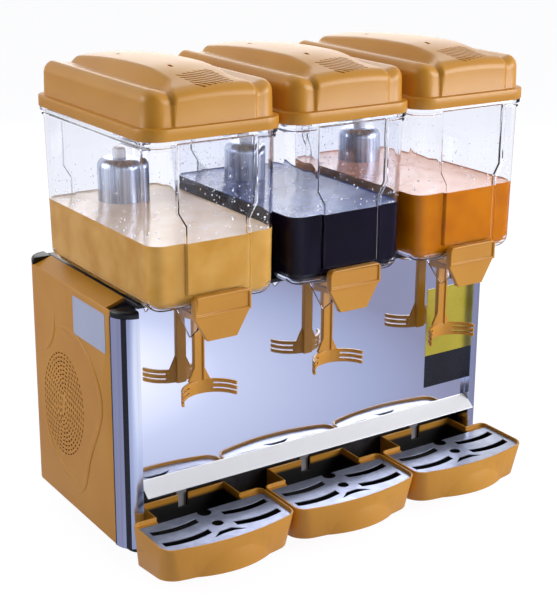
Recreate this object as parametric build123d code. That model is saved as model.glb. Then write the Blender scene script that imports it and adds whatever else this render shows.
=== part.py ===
"""Refrigerated juice dispenser: three chilled bowls side by side on one cabinet.

Millimetres. +X is to the right of someone facing the taps, +Y to the rear, +Z up.
The origin is on the counter, under the middle of the machine.
"""
from build123d import *
from math import atan2, cos, degrees, pi, radians, sin, sqrt
import os

# Cabinet
foot_height = 28.0
foot_radius = 17.0
foot_round = 2.8
foot_inset = 45.0
foot_front_inset = 25.0
cabinet_height = 315.0
cabinet_depth = 263.0
panel_face = -73.0
bowl_pitch = 190.0
side_margin = 97.0
sheet = 1.5
moulding = 3.0

# Top deck
deck_thickness = 6.0
deck_side_inset = 26.0
deck_overhang = 5.0

# Side panels
panel_corner_radius = 26.0
panel_rear_flange = 20.0
shoulder_rise = 9.0
shoulder_front_gap = 12.0
vent_centre_y = 85.0
vent_centre_z = 166.0
vent_half_height = 74.5
vent_half_width = 60.5
vent_tilt = 14.0
vent_slot_length = 5.4
vent_slot_width = 2.3
vent_ring_step = 5.7
vent_slot_pitch = 8.6
rib_height = 1.2
rib_width = 5.0
vent_rib = ((103, 268), (66, 277), (6, 254), (-27, 203), (1, 142), (24, 87), (52, 54))
foot_rib = ((148, 138), (124, 89), (77, 69), (50, 65))
shoulder_rib = ((104, 290), (105, 271), (125, 233), (139, 225))

# Pillars, their inlaid stripes and the black caps
pillar_radius = 26.0
pillar_proud = 9.0
pillar_wall = 3.0
pillar_drop = 16.0
stripe_depth = 0.8
stripe_start = 39.0
stripe_end = 54.0
stripe_cut_margin = 1.0
cap_height = 9.0
rear_cap_height = 9.0
cap_round = 4.0

# Front panel and the drip ledge bent out of its foot
ledge_reach = 20.0
ledge_fall = 14.0
ledge_height = 84.0

# Base tray and the recess that the drip trays slide into
base_thickness = 3.0
base_flange_height = 12.0
recess_depth = 27.0
clip_width = 50.0
clip_tab_width = 14.0
clip_thickness = 2.5
clip_front_gap = 5.2
clip_tab_height = 42.0

# Rear panel
rear_inset = 14.0
louvre_count = 10
louvre_pitch = 11.0
louvre_gap = 4.5
louvre_length = 170.0

# Bowls
bowl_lift = 4.0
bowl_height = 209.0
bowl_wall = 3.0
bowl_floor = 4.0
bowl_top_half = 87.0
bowl_foot_half = 83.0
bowl_front_reach = 68.0
bowl_depth = 290.0
bowl_rear_lean = 2.0
bowl_corner = 20.0
bowl_foot_round = 16.0
flute_raise = 4.5
flute_low_half = 43.0
flute_high_half = 53.0
flute_kink_low = 101.0
flute_kink_rise = 17.0
rim_drop = 13.0
rim_thickness = 5.0
rim_width = 4.0
bead_drop = 6.0
bead_height = 3.0
bead_width = 2.0
runner_width = 6.0
runner_spread = 45.0
runner_length = 100.0

# Lids
lid_skirt_overhang = 2.0
lid_skirt_height = 14.0
lid_step = 8.0
lid_body_height = 42.0
lid_wall = 2.5
lid_corner = 15.0
lid_shoulder_round = 12.0
lid_seat_clearance = 0.6
ridge_half = 54.0
ridge_top_half = 38.0
ridge_crest = 15.0
ridge_crown = 5.0
ridge_front_rise = 10.0
ridge_nose_length = 28.0
ridge_nose_run = 8.0
ridge_nose_rise = 6.0
ridge_crest_setback = 112.0
ridge_proud = 4.0
valley_depth = 5.0
valley_width = 20.0
lid_vent_slots = 10
lid_vent_length = 80.0
lid_vent_pitch = 5.9
lid_vent_gap = 2.6
lid_vent_turn = -36.0
lid_window_width = 50.0
lid_window_depth = 42.5
lid_window_turn = 10.0
lid_window_x = 2.0
lid_window_setback = 30.0

# Evaporator domes, gaskets and white caps
evaporator_radius = 30.0
evaporator_height = 127.0
evaporator_dome = 12.0
evaporator_wall = 1.5
evaporator_setback = 165.0
evaporator_flange = 9.0
evaporator_flange_height = 3.0
gasket_width = 5.0
gasket_height = 13.0
fit_gap = 0.3
running_gap = 0.05
dome_cap_radius = 9.0
dome_cap_height = 14.0
dome_cap_round = 4.5

# Mixing impellers and their magnetic drives
drive_setback = 75.0
impeller_radius = 26.0
impeller_hub_radius = 8.0
impeller_height = 14.0
impeller_plate = 3.0
impeller_blades = 6
impeller_pin_radius = 3.0
impeller_boss_height = 2.0
drive_motor_radius = 30.0
drive_motor_height = 40.0
drive_gap = 3.0
drive_magnet_height = 8.0
drive_magnet_radius = 26.0
drive_shaft_radius = 4.0
drive_post_radius = 3.0
drive_flange_margin = 6.0
drive_flange_thickness = 3.0
drive_posts = 3
drive_post_gap = 3.0
drive_shaft_depth = 20.0
drive_bore_depth = 30.0

# Taps
tap_tube_radius = 13.0
tap_bore_radius = 8.5
tap_tube_drop = 33.0
tap_setback = 18.0
tap_pivot_ahead = 12.0
tap_pivot_drop = 17.0
tap_pin_radius = 2.5
cover_half = 38.0
cover_foot_half = 20.0
cover_rise = 19.0
cover_plate_height = 25.0
cover_proud = 10.0
cover_rim = 3.0
cover_corner = 6.0
cover_recess = 2.0
cover_undercut = 3.0
cover_drop = 37.0
cover_wall = 2.0
ear_thickness = 4.5
cheek_thickness = 3.0
cheek_clearance = 2.0
gusset_spread = 29.0
gusset_thickness = 3.0
gusset_reach = 62.0
gusset_lap = 3.0
gusset_drop = 38.0
gusset_front_drop = 23.0
plunger_gap = 0.1
plunger_length = 22.0
crossbar_radius = 1.5
plunger_travel = 4.0
toe_clearance = 1.0
floor_clearance = 2.0
lever_stem_half = 6.5
lever_stem_depth = 7.0
lever_length = 108.0
lever_setback = 45.0
lever_rib = 2.0
lever_flare_height = 17.5
paddle_radius = 41.0
paddle_thickness = 3.5
paddle_height = 17.5
paddle_half = 38.0
paddle_fingers = 3
paddle_slot = 2.0
paddle_slot_start = 17.0
spring_wire = 0.8
spring_radius = 2.2
spring_turns = 5

# Drip trays and grids
tray_reach = 117.0
tray_rim_height = 70.5
tray_depth = 55.5
tray_half = 93.5
tray_draft = 5.0
tray_front_draft = 8.0
tray_bulge = 14.0
tray_corner = 18.0
tray_foot_corner = 28.0
tray_rear_corner = 10.0
tray_body_length = 100.0
tray_wall = 2.6
tray_tongue_half = 62.0
tray_tongue_end_gap = 5.0
tray_notch_half = 7.0
tray_notch_depth = 18.0
tray_rise = 13.0
tray_chin = 3.0
tray_chin_radius = 103.0
tray_chin_level = 10.0
grid_drop = 5.0
grid_ledge = 4.0
grid_thickness = 1.2
grid_clearance = 0.5
grid_length = 83.0
grid_slot_width = 10.5
grid_slot_near = 18.0
grid_slot_far = 82.0
grid_slot_bow = 5.0
grid_slot_rows = (13.0, 44.0)
grid_hole_radius = 7.3
grid_hole_back = 37.0
grid_notch_radius = 9.0
grid_notch_back = 5.0
grid_gull_back = 60.0
grid_gull_half = 22.0
grid_gull_sweep = 7.0
grid_gull_width = 8.0

# Cold machinery inside the cabinet
condenser_thickness = 34.0
condenser_gap = 26.0
condenser_width = 150.0
condenser_height = 176.0
condenser_fins = 11
condenser_fin_slot = 5.0
condenser_lift = 10.0
condenser_foot = 20.0
condenser_head = 10.0
shroud_thickness = 2.0
fan_radius = 62.0
fan_blades = 5
fan_blade_depth = 20.0
fan_blade_chord = 18.0
fan_blade_angle = 30.0
fan_hub_radius = 17.0
fan_tip_gap = 4.0
fan_motor_radius = 30.0
fan_motor_length = 46.0
fan_motor_leg_half = 15.0
fan_motor_plate = 3.0
fan_bore_depth = 34.0
fan_shaft_radius = 4.0
compressor_radius = 72.0
compressor_height = 130.0
compressor_dome = 34.0
compressor_wall = 20.0
compressor_x = 120.0
compressor_y = 70.0
compressor_foot = 10.0
compressor_foot_radius = 7.0
compressor_foot_inset = 10.0
compressor_plate = 3.0
drier_radius = 10.0
drier_length = 90.0
drier_round = 6.0
drier_gap = 30.0
drier_lift = 30.0
drier_saddle_half = 5.0
drier_saddle_length = 20.0
pipe_radius = 4.0
pipe_bend = 12.0
pipe_tight_bend = 8.5
pipe_run = 36.0
pipe_offset = 48.0
pipe_rise = 16.0
control_width = 100.0
control_height = 90.0
control_depth = 46.0
control_x = -70.0
control_z = 200.0

# Rear controls
switch_plate_width = 92.0
switch_plate_height = 56.0
switch_plate_thickness = 5.0
switch_plate_lift = 56.0
switch_width = 15.0
switch_height = 24.0
switch_spread = 26.0
rocker_half = 9.0
rocker_back = 2.0
rocker_front = 4.0
rocker_dish = 1.0
rocker_pin_radius = 1.2
rocker_pin_length = 1.5
rocker_tilt = 7.0
knob_radius = 13.0
knob_height = 8.0
knob_skirt_height = 4.8
knob_bar_half = 2.6
knob_shaft_radius = 3.0
inlet_radius = 11.0
inlet_length = 10.0
inlet_bore_radius = 5.5
inlet_spread = 92.0
screw_radius = 3.6
screw_height = 2.0
screw_slot_width = 1.4
screw_slot_depth = 1.0
screw_margin = 12.0

# Datum planes worked out from the sizes above
base_bottom = foot_height
base_top = base_bottom + base_thickness
deck_top = foot_height + cabinet_height
deck_bottom = deck_top - deck_thickness
cabinet_half = bowl_pitch + side_margin
rear_face = panel_face + cabinet_depth
rear_panel_face = rear_face - rear_inset
deck_half = cabinet_half - deck_side_inset
pillar_front = panel_face - pillar_proud
pillar_y = pillar_front + pillar_radius
pillar_x = cabinet_half - pillar_radius
pillar_top = deck_top - pillar_drop
side_top = deck_top - shoulder_rise
ledge_z = foot_height + ledge_height
recess_back = panel_face + recess_depth
rear_half = cabinet_half - panel_corner_radius
rear_corner_y = rear_face - panel_corner_radius
station_x = {"left": -bowl_pitch, "middle": 0.0, "right": bowl_pitch}

bowl_bottom = deck_top + bowl_lift
bowl_top = bowl_bottom + bowl_height
bowl_front = panel_face - bowl_front_reach
bowl_rear = bowl_front + bowl_depth
flute_front = bowl_front - flute_raise
floor_top = bowl_bottom + bowl_floor
rim_bottom = bowl_top - rim_drop
rim_top = rim_bottom + rim_thickness
evaporator_y = panel_face + evaporator_setback
drive_y = panel_face + drive_setback
collar_radius = evaporator_radius + gasket_width + fit_gap

skirt_half = bowl_top_half + rim_width + lid_skirt_overhang
skirt_front = bowl_front - rim_width - lid_skirt_overhang
skirt_rear = bowl_rear + rim_width + lid_skirt_overhang
skirt_top = rim_top + lid_skirt_height
lid_half = skirt_half - lid_step
lid_front = skirt_front + lid_step
lid_rear = skirt_rear - lid_step
lid_top = skirt_top + lid_body_height
ridge_front = lid_front - ridge_proud
ridge_z = lid_top + ridge_crest

tap_y = flute_front + tap_setback
pivot_y = tap_y - tap_pivot_ahead
pivot_z = bowl_bottom - tap_pivot_drop
tube_bottom = bowl_bottom - tap_tube_drop
cover_top = bowl_bottom + cover_rise
cover_front = flute_front - cover_proud
cover_bottom = bowl_bottom - cover_drop
shell_front = cover_front + cover_undercut
tube_front = tap_y - tap_tube_radius
crossbar_z = pivot_z + 2 * crossbar_radius + fit_gap
toe_front = shell_front + cover_wall + toe_clearance
toe_rear = pivot_y - tap_pin_radius
spring_y = (toe_front + toe_rear) / 2
cheek_inside = tap_tube_radius + cheek_clearance
cheek_outside = cheek_inside + cheek_thickness
ear_inside = cheek_outside + fit_gap
ear_outside = ear_inside + ear_thickness
stem_y = pivot_y + lever_setback
lever_bottom = pivot_z - lever_length
paddle_top = lever_bottom + paddle_height

tray_front = panel_face - tray_reach
tray_rear = tray_front + tray_body_length
tray_bottom = tray_rim_height - tray_depth
tongue_rear = recess_back - tray_tongue_end_gap
grid_seat = tray_rim_height - grid_drop


def block(x, y, z):
    """A box between two X, two Y and two Z values."""
    low = (Align.MIN, Align.MIN, Align.MIN)
    return Pos(x[0], y[0], z[0]) * Box(x[1] - x[0], y[1] - y[0], z[1] - z[0], align=low)


def rod(radius, start, end):
    """A round bar between two points."""
    start = Vector(*start)
    along = Vector(*end) - start
    foot = (Align.CENTER, Align.CENTER, Align.MIN)
    return Plane(origin=start, z_dir=along) * Cylinder(radius, along.length, align=foot)


def tube(outer, inner, start, end):
    """A round tube between two points."""
    return rod(outer, start, end) - rod(inner, start, end)


def prism(points, vector):
    """A flat outline pushed along a vector."""
    vector = Vector(*vector)
    return extrude(make_face(Polyline(*points, close=True)), vector.length, dir=vector)


def prism_x(outline, x0, x1):
    """A Y, Z outline pushed from one X to another."""
    return prism([(x0, y, z) for y, z in outline], (x1 - x0, 0, 0))


def prism_y(outline, y0, y1):
    """An X, Z outline pushed from one Y to another."""
    return prism([(x, y0, z) for x, z in outline], (0, y1 - y0, 0))


def rounded_slab(half, y, z, radius):
    """An upright rounded box, level with X = 0."""
    middle = (y[0] + y[1]) / 2
    outline = RectangleRounded(2 * half, y[1] - y[0], radius)
    return Pos(0, middle, z[0]) * extrude(outline, z[1] - z[0])


def rounded_taper(low, high, z, radius):
    """A rounded box that widens from one level to another. low and high are (half, front, rear)."""
    sections = []
    for (half, front, rear), level in zip((low, high), z):
        outline = RectangleRounded(2 * half, rear - front, radius)
        sections.append(Pos(0, (front + rear) / 2, level) * outline)
    return loft(sections)


def both_sides(piece):
    """A piece and its mirror image across X = 0."""
    return [piece, mirror(piece, Plane.YZ)]


def group(pieces):
    """Several separate solids under one name."""
    return Compound(children=list(pieces))


def save(name, piece):
    """Writes one named piece."""
    export_step(piece, os.path.join("parts", name + ".step"))


# The bowl


def bowl_form(inset, foot):
    """The bowl's body and its raised panels, drawn in by an inset, from a foot level up."""
    low = (bowl_foot_half - inset, bowl_front + inset, bowl_rear - bowl_rear_lean - inset)
    high = (bowl_top_half - inset, bowl_front + inset, bowl_rear - inset)
    body = rounded_taper(low, high, (foot, bowl_top), bowl_corner - inset)
    body = fillet(body.edges().group_by(Axis.Z)[0], bowl_foot_round - inset)
    low_half = flute_low_half - inset
    high_half = flute_high_half - inset
    kink = bowl_bottom + flute_kink_low
    outline = [
        (-low_half, foot + bowl_foot_round),
        (low_half, foot + bowl_foot_round),
        (low_half, kink),
        (high_half, kink + flute_kink_rise),
        (high_half, rim_bottom),
        (-high_half, rim_bottom),
        (-high_half, kink + flute_kink_rise),
        (-low_half, kink),
    ]
    depth = bowl_corner + flute_raise
    front_panel = prism_y(outline, flute_front + inset, flute_front + depth)
    rear_panel = prism_y(outline, bowl_rear - depth, bowl_rear + flute_raise - inset)
    return body + front_panel + rear_panel


def bowl_rim():
    """The flange that the lid rests on, and the bead under it."""
    pieces = None
    for width, low, high in (
        (rim_width, rim_bottom, rim_top),
        (bead_width, rim_bottom - bead_drop, rim_bottom - bead_drop + bead_height),
    ):
        half = bowl_top_half + width
        depth = (bowl_front - width, bowl_rear + width)
        ring = rounded_slab(half, depth, (low, high), bowl_corner + width)
        pieces = ring if pieces is None else pieces + ring
    return pieces


def bowl():
    outer = bowl_form(0.0, bowl_bottom) + bowl_rim()
    inner = bowl_form(bowl_wall, floor_top)
    piece = outer - inner

    # Runners that stand on the deck.
    for side in (-1, 1):
        x = side * runner_spread
        piece += block(
            (x - runner_width / 2, x + runner_width / 2),
            (drive_y - runner_length / 2, drive_y + runner_length / 2),
            (deck_top, floor_top),
        )

    # Collar and hole for the evaporator.
    centre = (0, evaporator_y)
    collar_low = deck_top + evaporator_flange_height + fit_gap
    collar_high = deck_top + evaporator_flange_height + gasket_height
    piece += rod(collar_radius + bowl_wall, (*centre, collar_low), (*centre, collar_high))
    piece -= rod(collar_radius, (*centre, deck_top), (*centre, bowl_top))

    # Boss and pin for the impeller.
    boss_top = floor_top + impeller_boss_height
    pin_top = boss_top + impeller_height + impeller_pin_radius
    piece += rod(impeller_hub_radius, (0, drive_y, bowl_bottom), (0, drive_y, boss_top))
    piece += rod(impeller_pin_radius, (0, drive_y, bowl_bottom), (0, drive_y, pin_top))

    # Spout tube with a slot for the plunger's crossbar, and the gussets beside it.
    piece += rod(tap_tube_radius, (0, tap_y, tube_bottom), (0, tap_y, floor_top))
    for side in (-1, 1):
        x = side * gusset_spread
        outline = [
            (flute_front, bowl_bottom + bowl_foot_round + gusset_lap),
            (flute_front, bowl_bottom - gusset_front_drop),
            (tap_y, bowl_bottom - gusset_drop),
            (flute_front + gusset_reach, bowl_bottom),
            (flute_front + gusset_reach, floor_top),
            (flute_front + flute_raise, bowl_bottom + bowl_foot_round + gusset_lap),
        ]
        web = prism_x(outline, x - gusset_thickness / 2, x + gusset_thickness / 2)
        piece += web - bowl_form(bowl_wall, floor_top)
    piece -= rod(tap_bore_radius, (0, tap_y, tube_bottom), (0, tap_y, floor_top + bowl_foot_round))
    slot = crossbar_radius + fit_gap
    piece -= block(
        (-tap_tube_radius, tap_tube_radius),
        (tap_y - slot, tap_y + slot),
        (crossbar_z - slot, crossbar_z + crossbar_radius + plunger_travel),
    )
    return piece


# The lid


def ridge_profile(inset, low):
    """The ridge from the side: a rounded nose, a long arched back and a straight rear."""
    front = ridge_front + inset
    rear = lid_rear - inset
    base = lid_top - inset
    front_edge = Line((0, front, low), (0, front, base))
    nose = ThreePointArc(
        front_edge @ 1,
        (0, front + ridge_nose_run, base + ridge_nose_rise),
        (0, front + ridge_nose_length, base + ridge_front_rise),
    )
    crest = (0, ridge_front + ridge_crest_setback, ridge_z - inset)
    back = ThreePointArc(nose @ 1, crest, (0, rear, base))
    rear_edge = Line(back @ 1, (0, rear, low))
    foot = Line(rear_edge @ 1, front_edge @ 0)
    return make_face(Curve() + [front_edge, nose, back, rear_edge, foot])


def ridge_section(inset, low):
    """The ridge from the front: leaning sides under a low crown."""
    half = ridge_half - inset
    top = ridge_top_half - inset
    base = lid_top - valley_depth - inset
    edge = ridge_z - ridge_crown - inset
    crown = ThreePointArc((-top, 0, edge), (0, 0, ridge_z - inset), (top, 0, edge))
    outline = Polyline(
        (top, 0, edge), (half, 0, base), (half, 0, low), (-half, 0, low), (-half, 0, base), (-top, 0, edge)
    )
    return make_face(Curve() + [crown, outline])


def ridge_form(inset, low):
    """The arched ridge along the lid, drawn in by an inset, from a low level up."""
    along = Pos(-ridge_half, 0, 0) * extrude(ridge_profile(inset, low), 2 * ridge_half, dir=(1, 0, 0))
    length = skirt_rear - skirt_front
    across = Pos(0, skirt_front, 0) * extrude(ridge_section(inset, low), length, dir=(0, 1, 0))
    return along & across


def lid():
    depth = (skirt_front, skirt_rear)
    skirt = rounded_slab(skirt_half, depth, (rim_top, skirt_top), lid_corner + lid_step)
    body = rounded_slab(lid_half, (lid_front, lid_rear), (skirt_top, lid_top), lid_corner)
    body = fillet(body.edges().group_by(Axis.Z)[-1], lid_shoulder_round)

    # Valleys that fall towards the ridge.
    for side in (-1, 1):
        outline = [
            (side * ridge_half, lid_top - valley_depth),
            (side * (ridge_half + valley_width), lid_top),
            (side * (ridge_half + valley_width), lid_top + valley_depth),
            (side * ridge_half, lid_top + valley_depth),
        ]
        body -= prism_y(outline, lid_front, lid_rear)

    ridge = ridge_form(0.0, skirt_top)
    seat_half = bowl_top_half + lid_seat_clearance
    seat = rounded_slab(
        seat_half,
        (bowl_front - lid_seat_clearance, bowl_rear + lid_seat_clearance),
        (rim_top, bowl_top + lid_seat_clearance),
        bowl_corner + lid_seat_clearance,
    )
    hollow = rounded_slab(
        lid_half - lid_wall,
        (lid_front + lid_wall, lid_rear - lid_wall),
        (rim_top, lid_top - valley_depth - lid_wall),
        lid_corner - lid_wall,
    )
    ridge_hollow = ridge_form(lid_wall, rim_top)
    piece = skirt + body + ridge - seat - hollow - ridge_hollow

    # Slanted air slots on the nose of the ridge, cut off square by a turned window.
    cut_height = ridge_crest + lid_wall
    vent = Pos(lid_window_x, ridge_front + lid_window_setback, lid_top + cut_height / 2)
    window = vent * Rot(0, 0, lid_window_turn) * Box(lid_window_width, lid_window_depth, cut_height)
    for index in range(lid_vent_slots):
        across = (index - (lid_vent_slots - 1) / 2) * lid_vent_pitch
        slot = Pos(0, across, 0) * Box(lid_vent_length, lid_vent_gap, cut_height)
        piece -= vent * Rot(0, 0, lid_vent_turn) * slot & window
    return piece


# The tap


def tap_cover():
    plate_bottom = cover_top - cover_plate_height
    plate = block((-cover_half, cover_half), (cover_front, flute_front), (plate_bottom, cover_top))
    plate = fillet(plate.edges().filter_by(Axis.Y).group_by(Axis.Z)[-1], cover_corner)
    plate -= block(
        (-cover_half + cover_rim, cover_half - cover_rim),
        (cover_front, cover_front + cover_recess),
        (plate_bottom + cover_rim, cover_top - cover_rim),
    )

    # The lower shell narrows downwards and is set back under the plate.
    outline = [
        (-cover_half, plate_bottom),
        (-cover_foot_half, cover_bottom),
        (cover_foot_half, cover_bottom),
        (cover_half, plate_bottom),
        (cover_half, plate_bottom + cover_wall),
        (-cover_half, plate_bottom + cover_wall),
    ]
    piece = plate + prism_y(outline, shell_front, flute_front)

    # A floor that carries the spring, and an ear at each side for the lever's pins.
    piece += block(
        (-cover_foot_half, cover_foot_half),
        (shell_front, tube_front - floor_clearance),
        (cover_bottom, cover_bottom + cover_wall),
    )
    ear_y = (shell_front + cover_wall, pivot_y + tap_pin_radius + cover_wall)
    ear_z = (pivot_z - tap_pin_radius - cover_wall, plate_bottom + cover_wall)
    for side in (-1, 1):
        ear_x = sorted((side * ear_inside, side * ear_outside))
        piece += block(ear_x, ear_y, ear_z)

    # Room for the lever between the ears, and the pin bores.
    piece -= block(
        (-ear_inside, ear_inside),
        (shell_front + cover_wall, flute_front),
        (cover_bottom + cover_wall, bowl_bottom),
    )
    return piece - rod(
        tap_pin_radius + running_gap, (-ear_outside, pivot_y, pivot_z), (ear_outside, pivot_y, pivot_z)
    )


def tap_lever():
    stem = block(
        (-lever_stem_half, lever_stem_half),
        (stem_y - lever_stem_depth / 2, stem_y + lever_stem_depth / 2),
        (lever_bottom, pivot_z + tap_pin_radius),
    )
    rib_x = (lever_stem_half - lever_rib, lever_stem_half)
    rib_y = (stem_y - lever_stem_depth / 2 - lever_rib, stem_y)
    stem += block(rib_x, rib_y, (paddle_top, pivot_z - lever_stem_depth))
    flare = [
        (-lever_stem_half, paddle_top + lever_flare_height),
        (lever_stem_half, paddle_top + lever_flare_height),
        (paddle_slot_start - paddle_slot, paddle_top),
        (-paddle_slot_start + paddle_slot, paddle_top),
    ]
    stem += prism_y(flare, stem_y - lever_stem_depth / 2, stem_y)

    # The paddle is a cup-shaped arc, split into fingers at each side.
    arc_y = stem_y - lever_stem_depth / 2 + paddle_thickness - paddle_radius
    centre_low = (0, arc_y, lever_bottom)
    centre_high = (0, arc_y, paddle_top)
    paddle = tube(paddle_radius, paddle_radius - paddle_thickness, centre_low, centre_high)
    reach = 2 * paddle_radius
    tip_y = arc_y + sqrt(paddle_radius**2 - paddle_half**2) - paddle_thickness
    paddle &= block((-paddle_half, paddle_half), (tip_y, tip_y + reach), (lever_bottom, paddle_top))
    finger = (paddle_height - (paddle_fingers - 1) * paddle_slot) / paddle_fingers
    for index in range(1, paddle_fingers):
        low = lever_bottom + index * finger + (index - 1) * paddle_slot
        for side in (-1, 1):
            x = sorted((side * paddle_slot_start, side * reach))
            paddle -= block(x, (arc_y, arc_y + reach), (low, low + paddle_slot))

    # Cheeks beside the spout tube, a bridge behind it, stub pins and the toes.
    low = pivot_z - lever_stem_depth
    high = pivot_z + tap_pin_radius
    bridge_y = (stem_y - lever_stem_depth / 2, stem_y + lever_stem_depth / 2)
    piece = stem + paddle + block((-cheek_outside, cheek_outside), bridge_y, (low, high))
    for side in (-1, 1):
        x = sorted((side * cheek_inside, side * cheek_outside))
        outline = [
            (toe_front, pivot_z - tap_pin_radius),
            (tap_y, pivot_z - tap_pin_radius),
            (bridge_y[0], low),
            (bridge_y[1], low),
            (bridge_y[1], high),
            (toe_front, high),
        ]
        piece += prism_x(outline, x[0], x[1])
        pin = (side * cheek_inside, pivot_y, pivot_z), (side * ear_outside, pivot_y, pivot_z)
        piece += rod(tap_pin_radius, *pin)
        toe_x = sorted((side * (tap_tube_radius + fit_gap), side * cheek_outside))
        toe_z = (pivot_z - tap_pin_radius, pivot_z + crossbar_radius)
        piece += block(toe_x, (tap_y - crossbar_radius, tap_y + crossbar_radius), toe_z)
    piece += block((-cheek_outside, cheek_outside), (toe_front, toe_rear), (pivot_z - tap_pin_radius, high))
    return piece


def tap_plunger():
    low = crossbar_z - plunger_length / 2
    piece = rod(tap_bore_radius - plunger_gap, (0, tap_y, low), (0, tap_y, low + plunger_length))
    reach = cheek_inside - fit_gap
    return piece + rod(crossbar_radius, (-reach, tap_y, crossbar_z), (reach, tap_y, crossbar_z))


def helix_point(angle, low, high, turns):
    """A point on the spring's centre line, with the coil's axis under the lever's toe."""
    z = low + (high - low) * angle / (2 * pi * turns)
    return (spring_radius * cos(angle), spring_y + spring_radius * sin(angle), z)


def tap_spring():
    low = cover_bottom + cover_wall + spring_wire / 2
    high = pivot_z - tap_pin_radius - spring_wire / 2 - fit_gap
    quarter = pi / 2
    path = Curve()
    for index in range(4 * spring_turns):
        start = index * quarter
        points = [helix_point(start + step * quarter / 2, low, high, spring_turns) for step in range(3)]
        path += ThreePointArc(*points)
    section = Plane(origin=path @ 0, z_dir=path % 0) * Circle(spring_wire / 2)
    least_gap = (high - low) / spring_turns - spring_wire
    print("tap spring: least gap between turns", round(least_gap, 3))
    return sweep(section, path=path)


# The impeller and its drive


def impeller():
    low = floor_top + impeller_boss_height + fit_gap
    high = low + impeller_height
    centre = (0, drive_y)
    piece = rod(impeller_hub_radius, (*centre, low), (*centre, high))
    piece += rod(impeller_radius, (*centre, low), (*centre, low + impeller_plate))
    for index in range(impeller_blades):
        across = (-impeller_plate / 2, impeller_plate / 2)
        blade = block((0, impeller_radius - impeller_plate), across, (low, high))
        piece += Pos(0, drive_y, 0) * (Rot(0, 0, index * 360 / impeller_blades) * blade)
    return piece - rod(impeller_pin_radius + running_gap, (*centre, low), (*centre, high))


magnet_high = deck_bottom - drive_gap
magnet_low = magnet_high - drive_magnet_height
drive_motor_top = magnet_low - drive_gap


def drive_magnet():
    centre = (0, drive_y)
    piece = rod(drive_magnet_radius, (*centre, magnet_low), (*centre, magnet_high))
    shaft_low = drive_motor_top - drive_shaft_depth
    return piece + rod(drive_shaft_radius, (*centre, shaft_low), (*centre, magnet_low))


def drive_motor():
    centre = (0, drive_y)
    low = drive_motor_top - drive_motor_height
    piece = rod(drive_motor_radius, (*centre, low), (*centre, drive_motor_top))
    spread = drive_magnet_radius + drive_post_radius + drive_post_gap
    flange = drive_motor_top - drive_flange_thickness
    piece += rod(spread + drive_flange_margin, (*centre, flange), (*centre, drive_motor_top))
    for index in range(drive_posts):
        angle = radians(90 + index * 360 / drive_posts)
        post = (spread * cos(angle), drive_y + spread * sin(angle))
        piece += rod(drive_post_radius, (*post, flange), (*post, deck_bottom))
    bore = drive_shaft_radius + running_gap
    return piece - rod(bore, (*centre, drive_motor_top - drive_bore_depth), (*centre, drive_motor_top))


# Evaporators


def evaporator():
    centre = (0, evaporator_y)
    low = deck_top
    top = deck_top + evaporator_height + evaporator_dome
    can = rod(evaporator_radius, (*centre, low), (*centre, top))
    can = fillet(can.edges().group_by(Axis.Z)[-1], evaporator_dome)
    flange = evaporator_radius + evaporator_flange
    can += rod(flange, (*centre, low), (*centre, low + evaporator_flange_height))
    bore = evaporator_radius - evaporator_wall
    return can - rod(bore, (*centre, low), (*centre, low + evaporator_height))


def dome_cap():
    centre = (0, evaporator_y)
    low = deck_top + evaporator_height + evaporator_dome
    piece = rod(dome_cap_radius, (*centre, low), (*centre, low + dome_cap_height))
    return fillet(piece.edges().group_by(Axis.Z)[-1], dome_cap_round)


def gasket():
    centre = (0, evaporator_y)
    low = deck_top + evaporator_flange_height
    inner = evaporator_radius + running_gap
    return tube(evaporator_radius + gasket_width, inner, (*centre, low), (*centre, low + gasket_height))


# Drip trays


def tray_outline(half, rear, front, corner, rear_corner):
    """A tray outline with a bowed front and rounded corners, on the counter plane."""
    side = front + tray_bulge
    left = Line((-half, rear), (-half, side))
    bow = ThreePointArc((-half, side), (0, front), (half, side))
    right = Line((half, side), (half, rear))
    back = Line((half, rear), (-half, rear))
    face = make_face(Curve() + [left, bow, right, back])
    face = fillet(face.vertices().group_by(Axis.Y)[0], corner)
    return fillet(face.vertices().group_by(Axis.Y)[-1], rear_corner)


def tray_form(inset, low, high):
    """The tray's tapered body, drawn in by an inset, between two levels."""
    sections = []
    for level in (low, high):
        fall = (tray_rim_height - level) / tray_depth
        outline = tray_outline(
            tray_half - inset - tray_draft * fall,
            tray_rear - inset,
            tray_front + tray_chin + inset + tray_front_draft * fall,
            tray_corner + (tray_foot_corner - tray_corner) * fall - inset,
            tray_rear_corner - inset,
        )
        sections.append(Pos(0, 0, level) * outline)
    return loft(sections)


def above_underside(lift):
    """The space above the tray's sloping underside, raised by a lift."""
    slope = tray_rise / tray_body_length
    low = tray_bottom + lift
    outline = [
        (tray_front - tray_wall, low + tray_rise + slope * tray_wall),
        (tray_rear + tray_wall, low - slope * tray_wall),
        (tray_rear + tray_wall, tray_rim_height + tray_wall),
        (tray_front - tray_wall, tray_rim_height + tray_wall),
    ]
    return prism_x(outline, -tray_half - tray_wall, tray_half + tray_wall)


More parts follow.
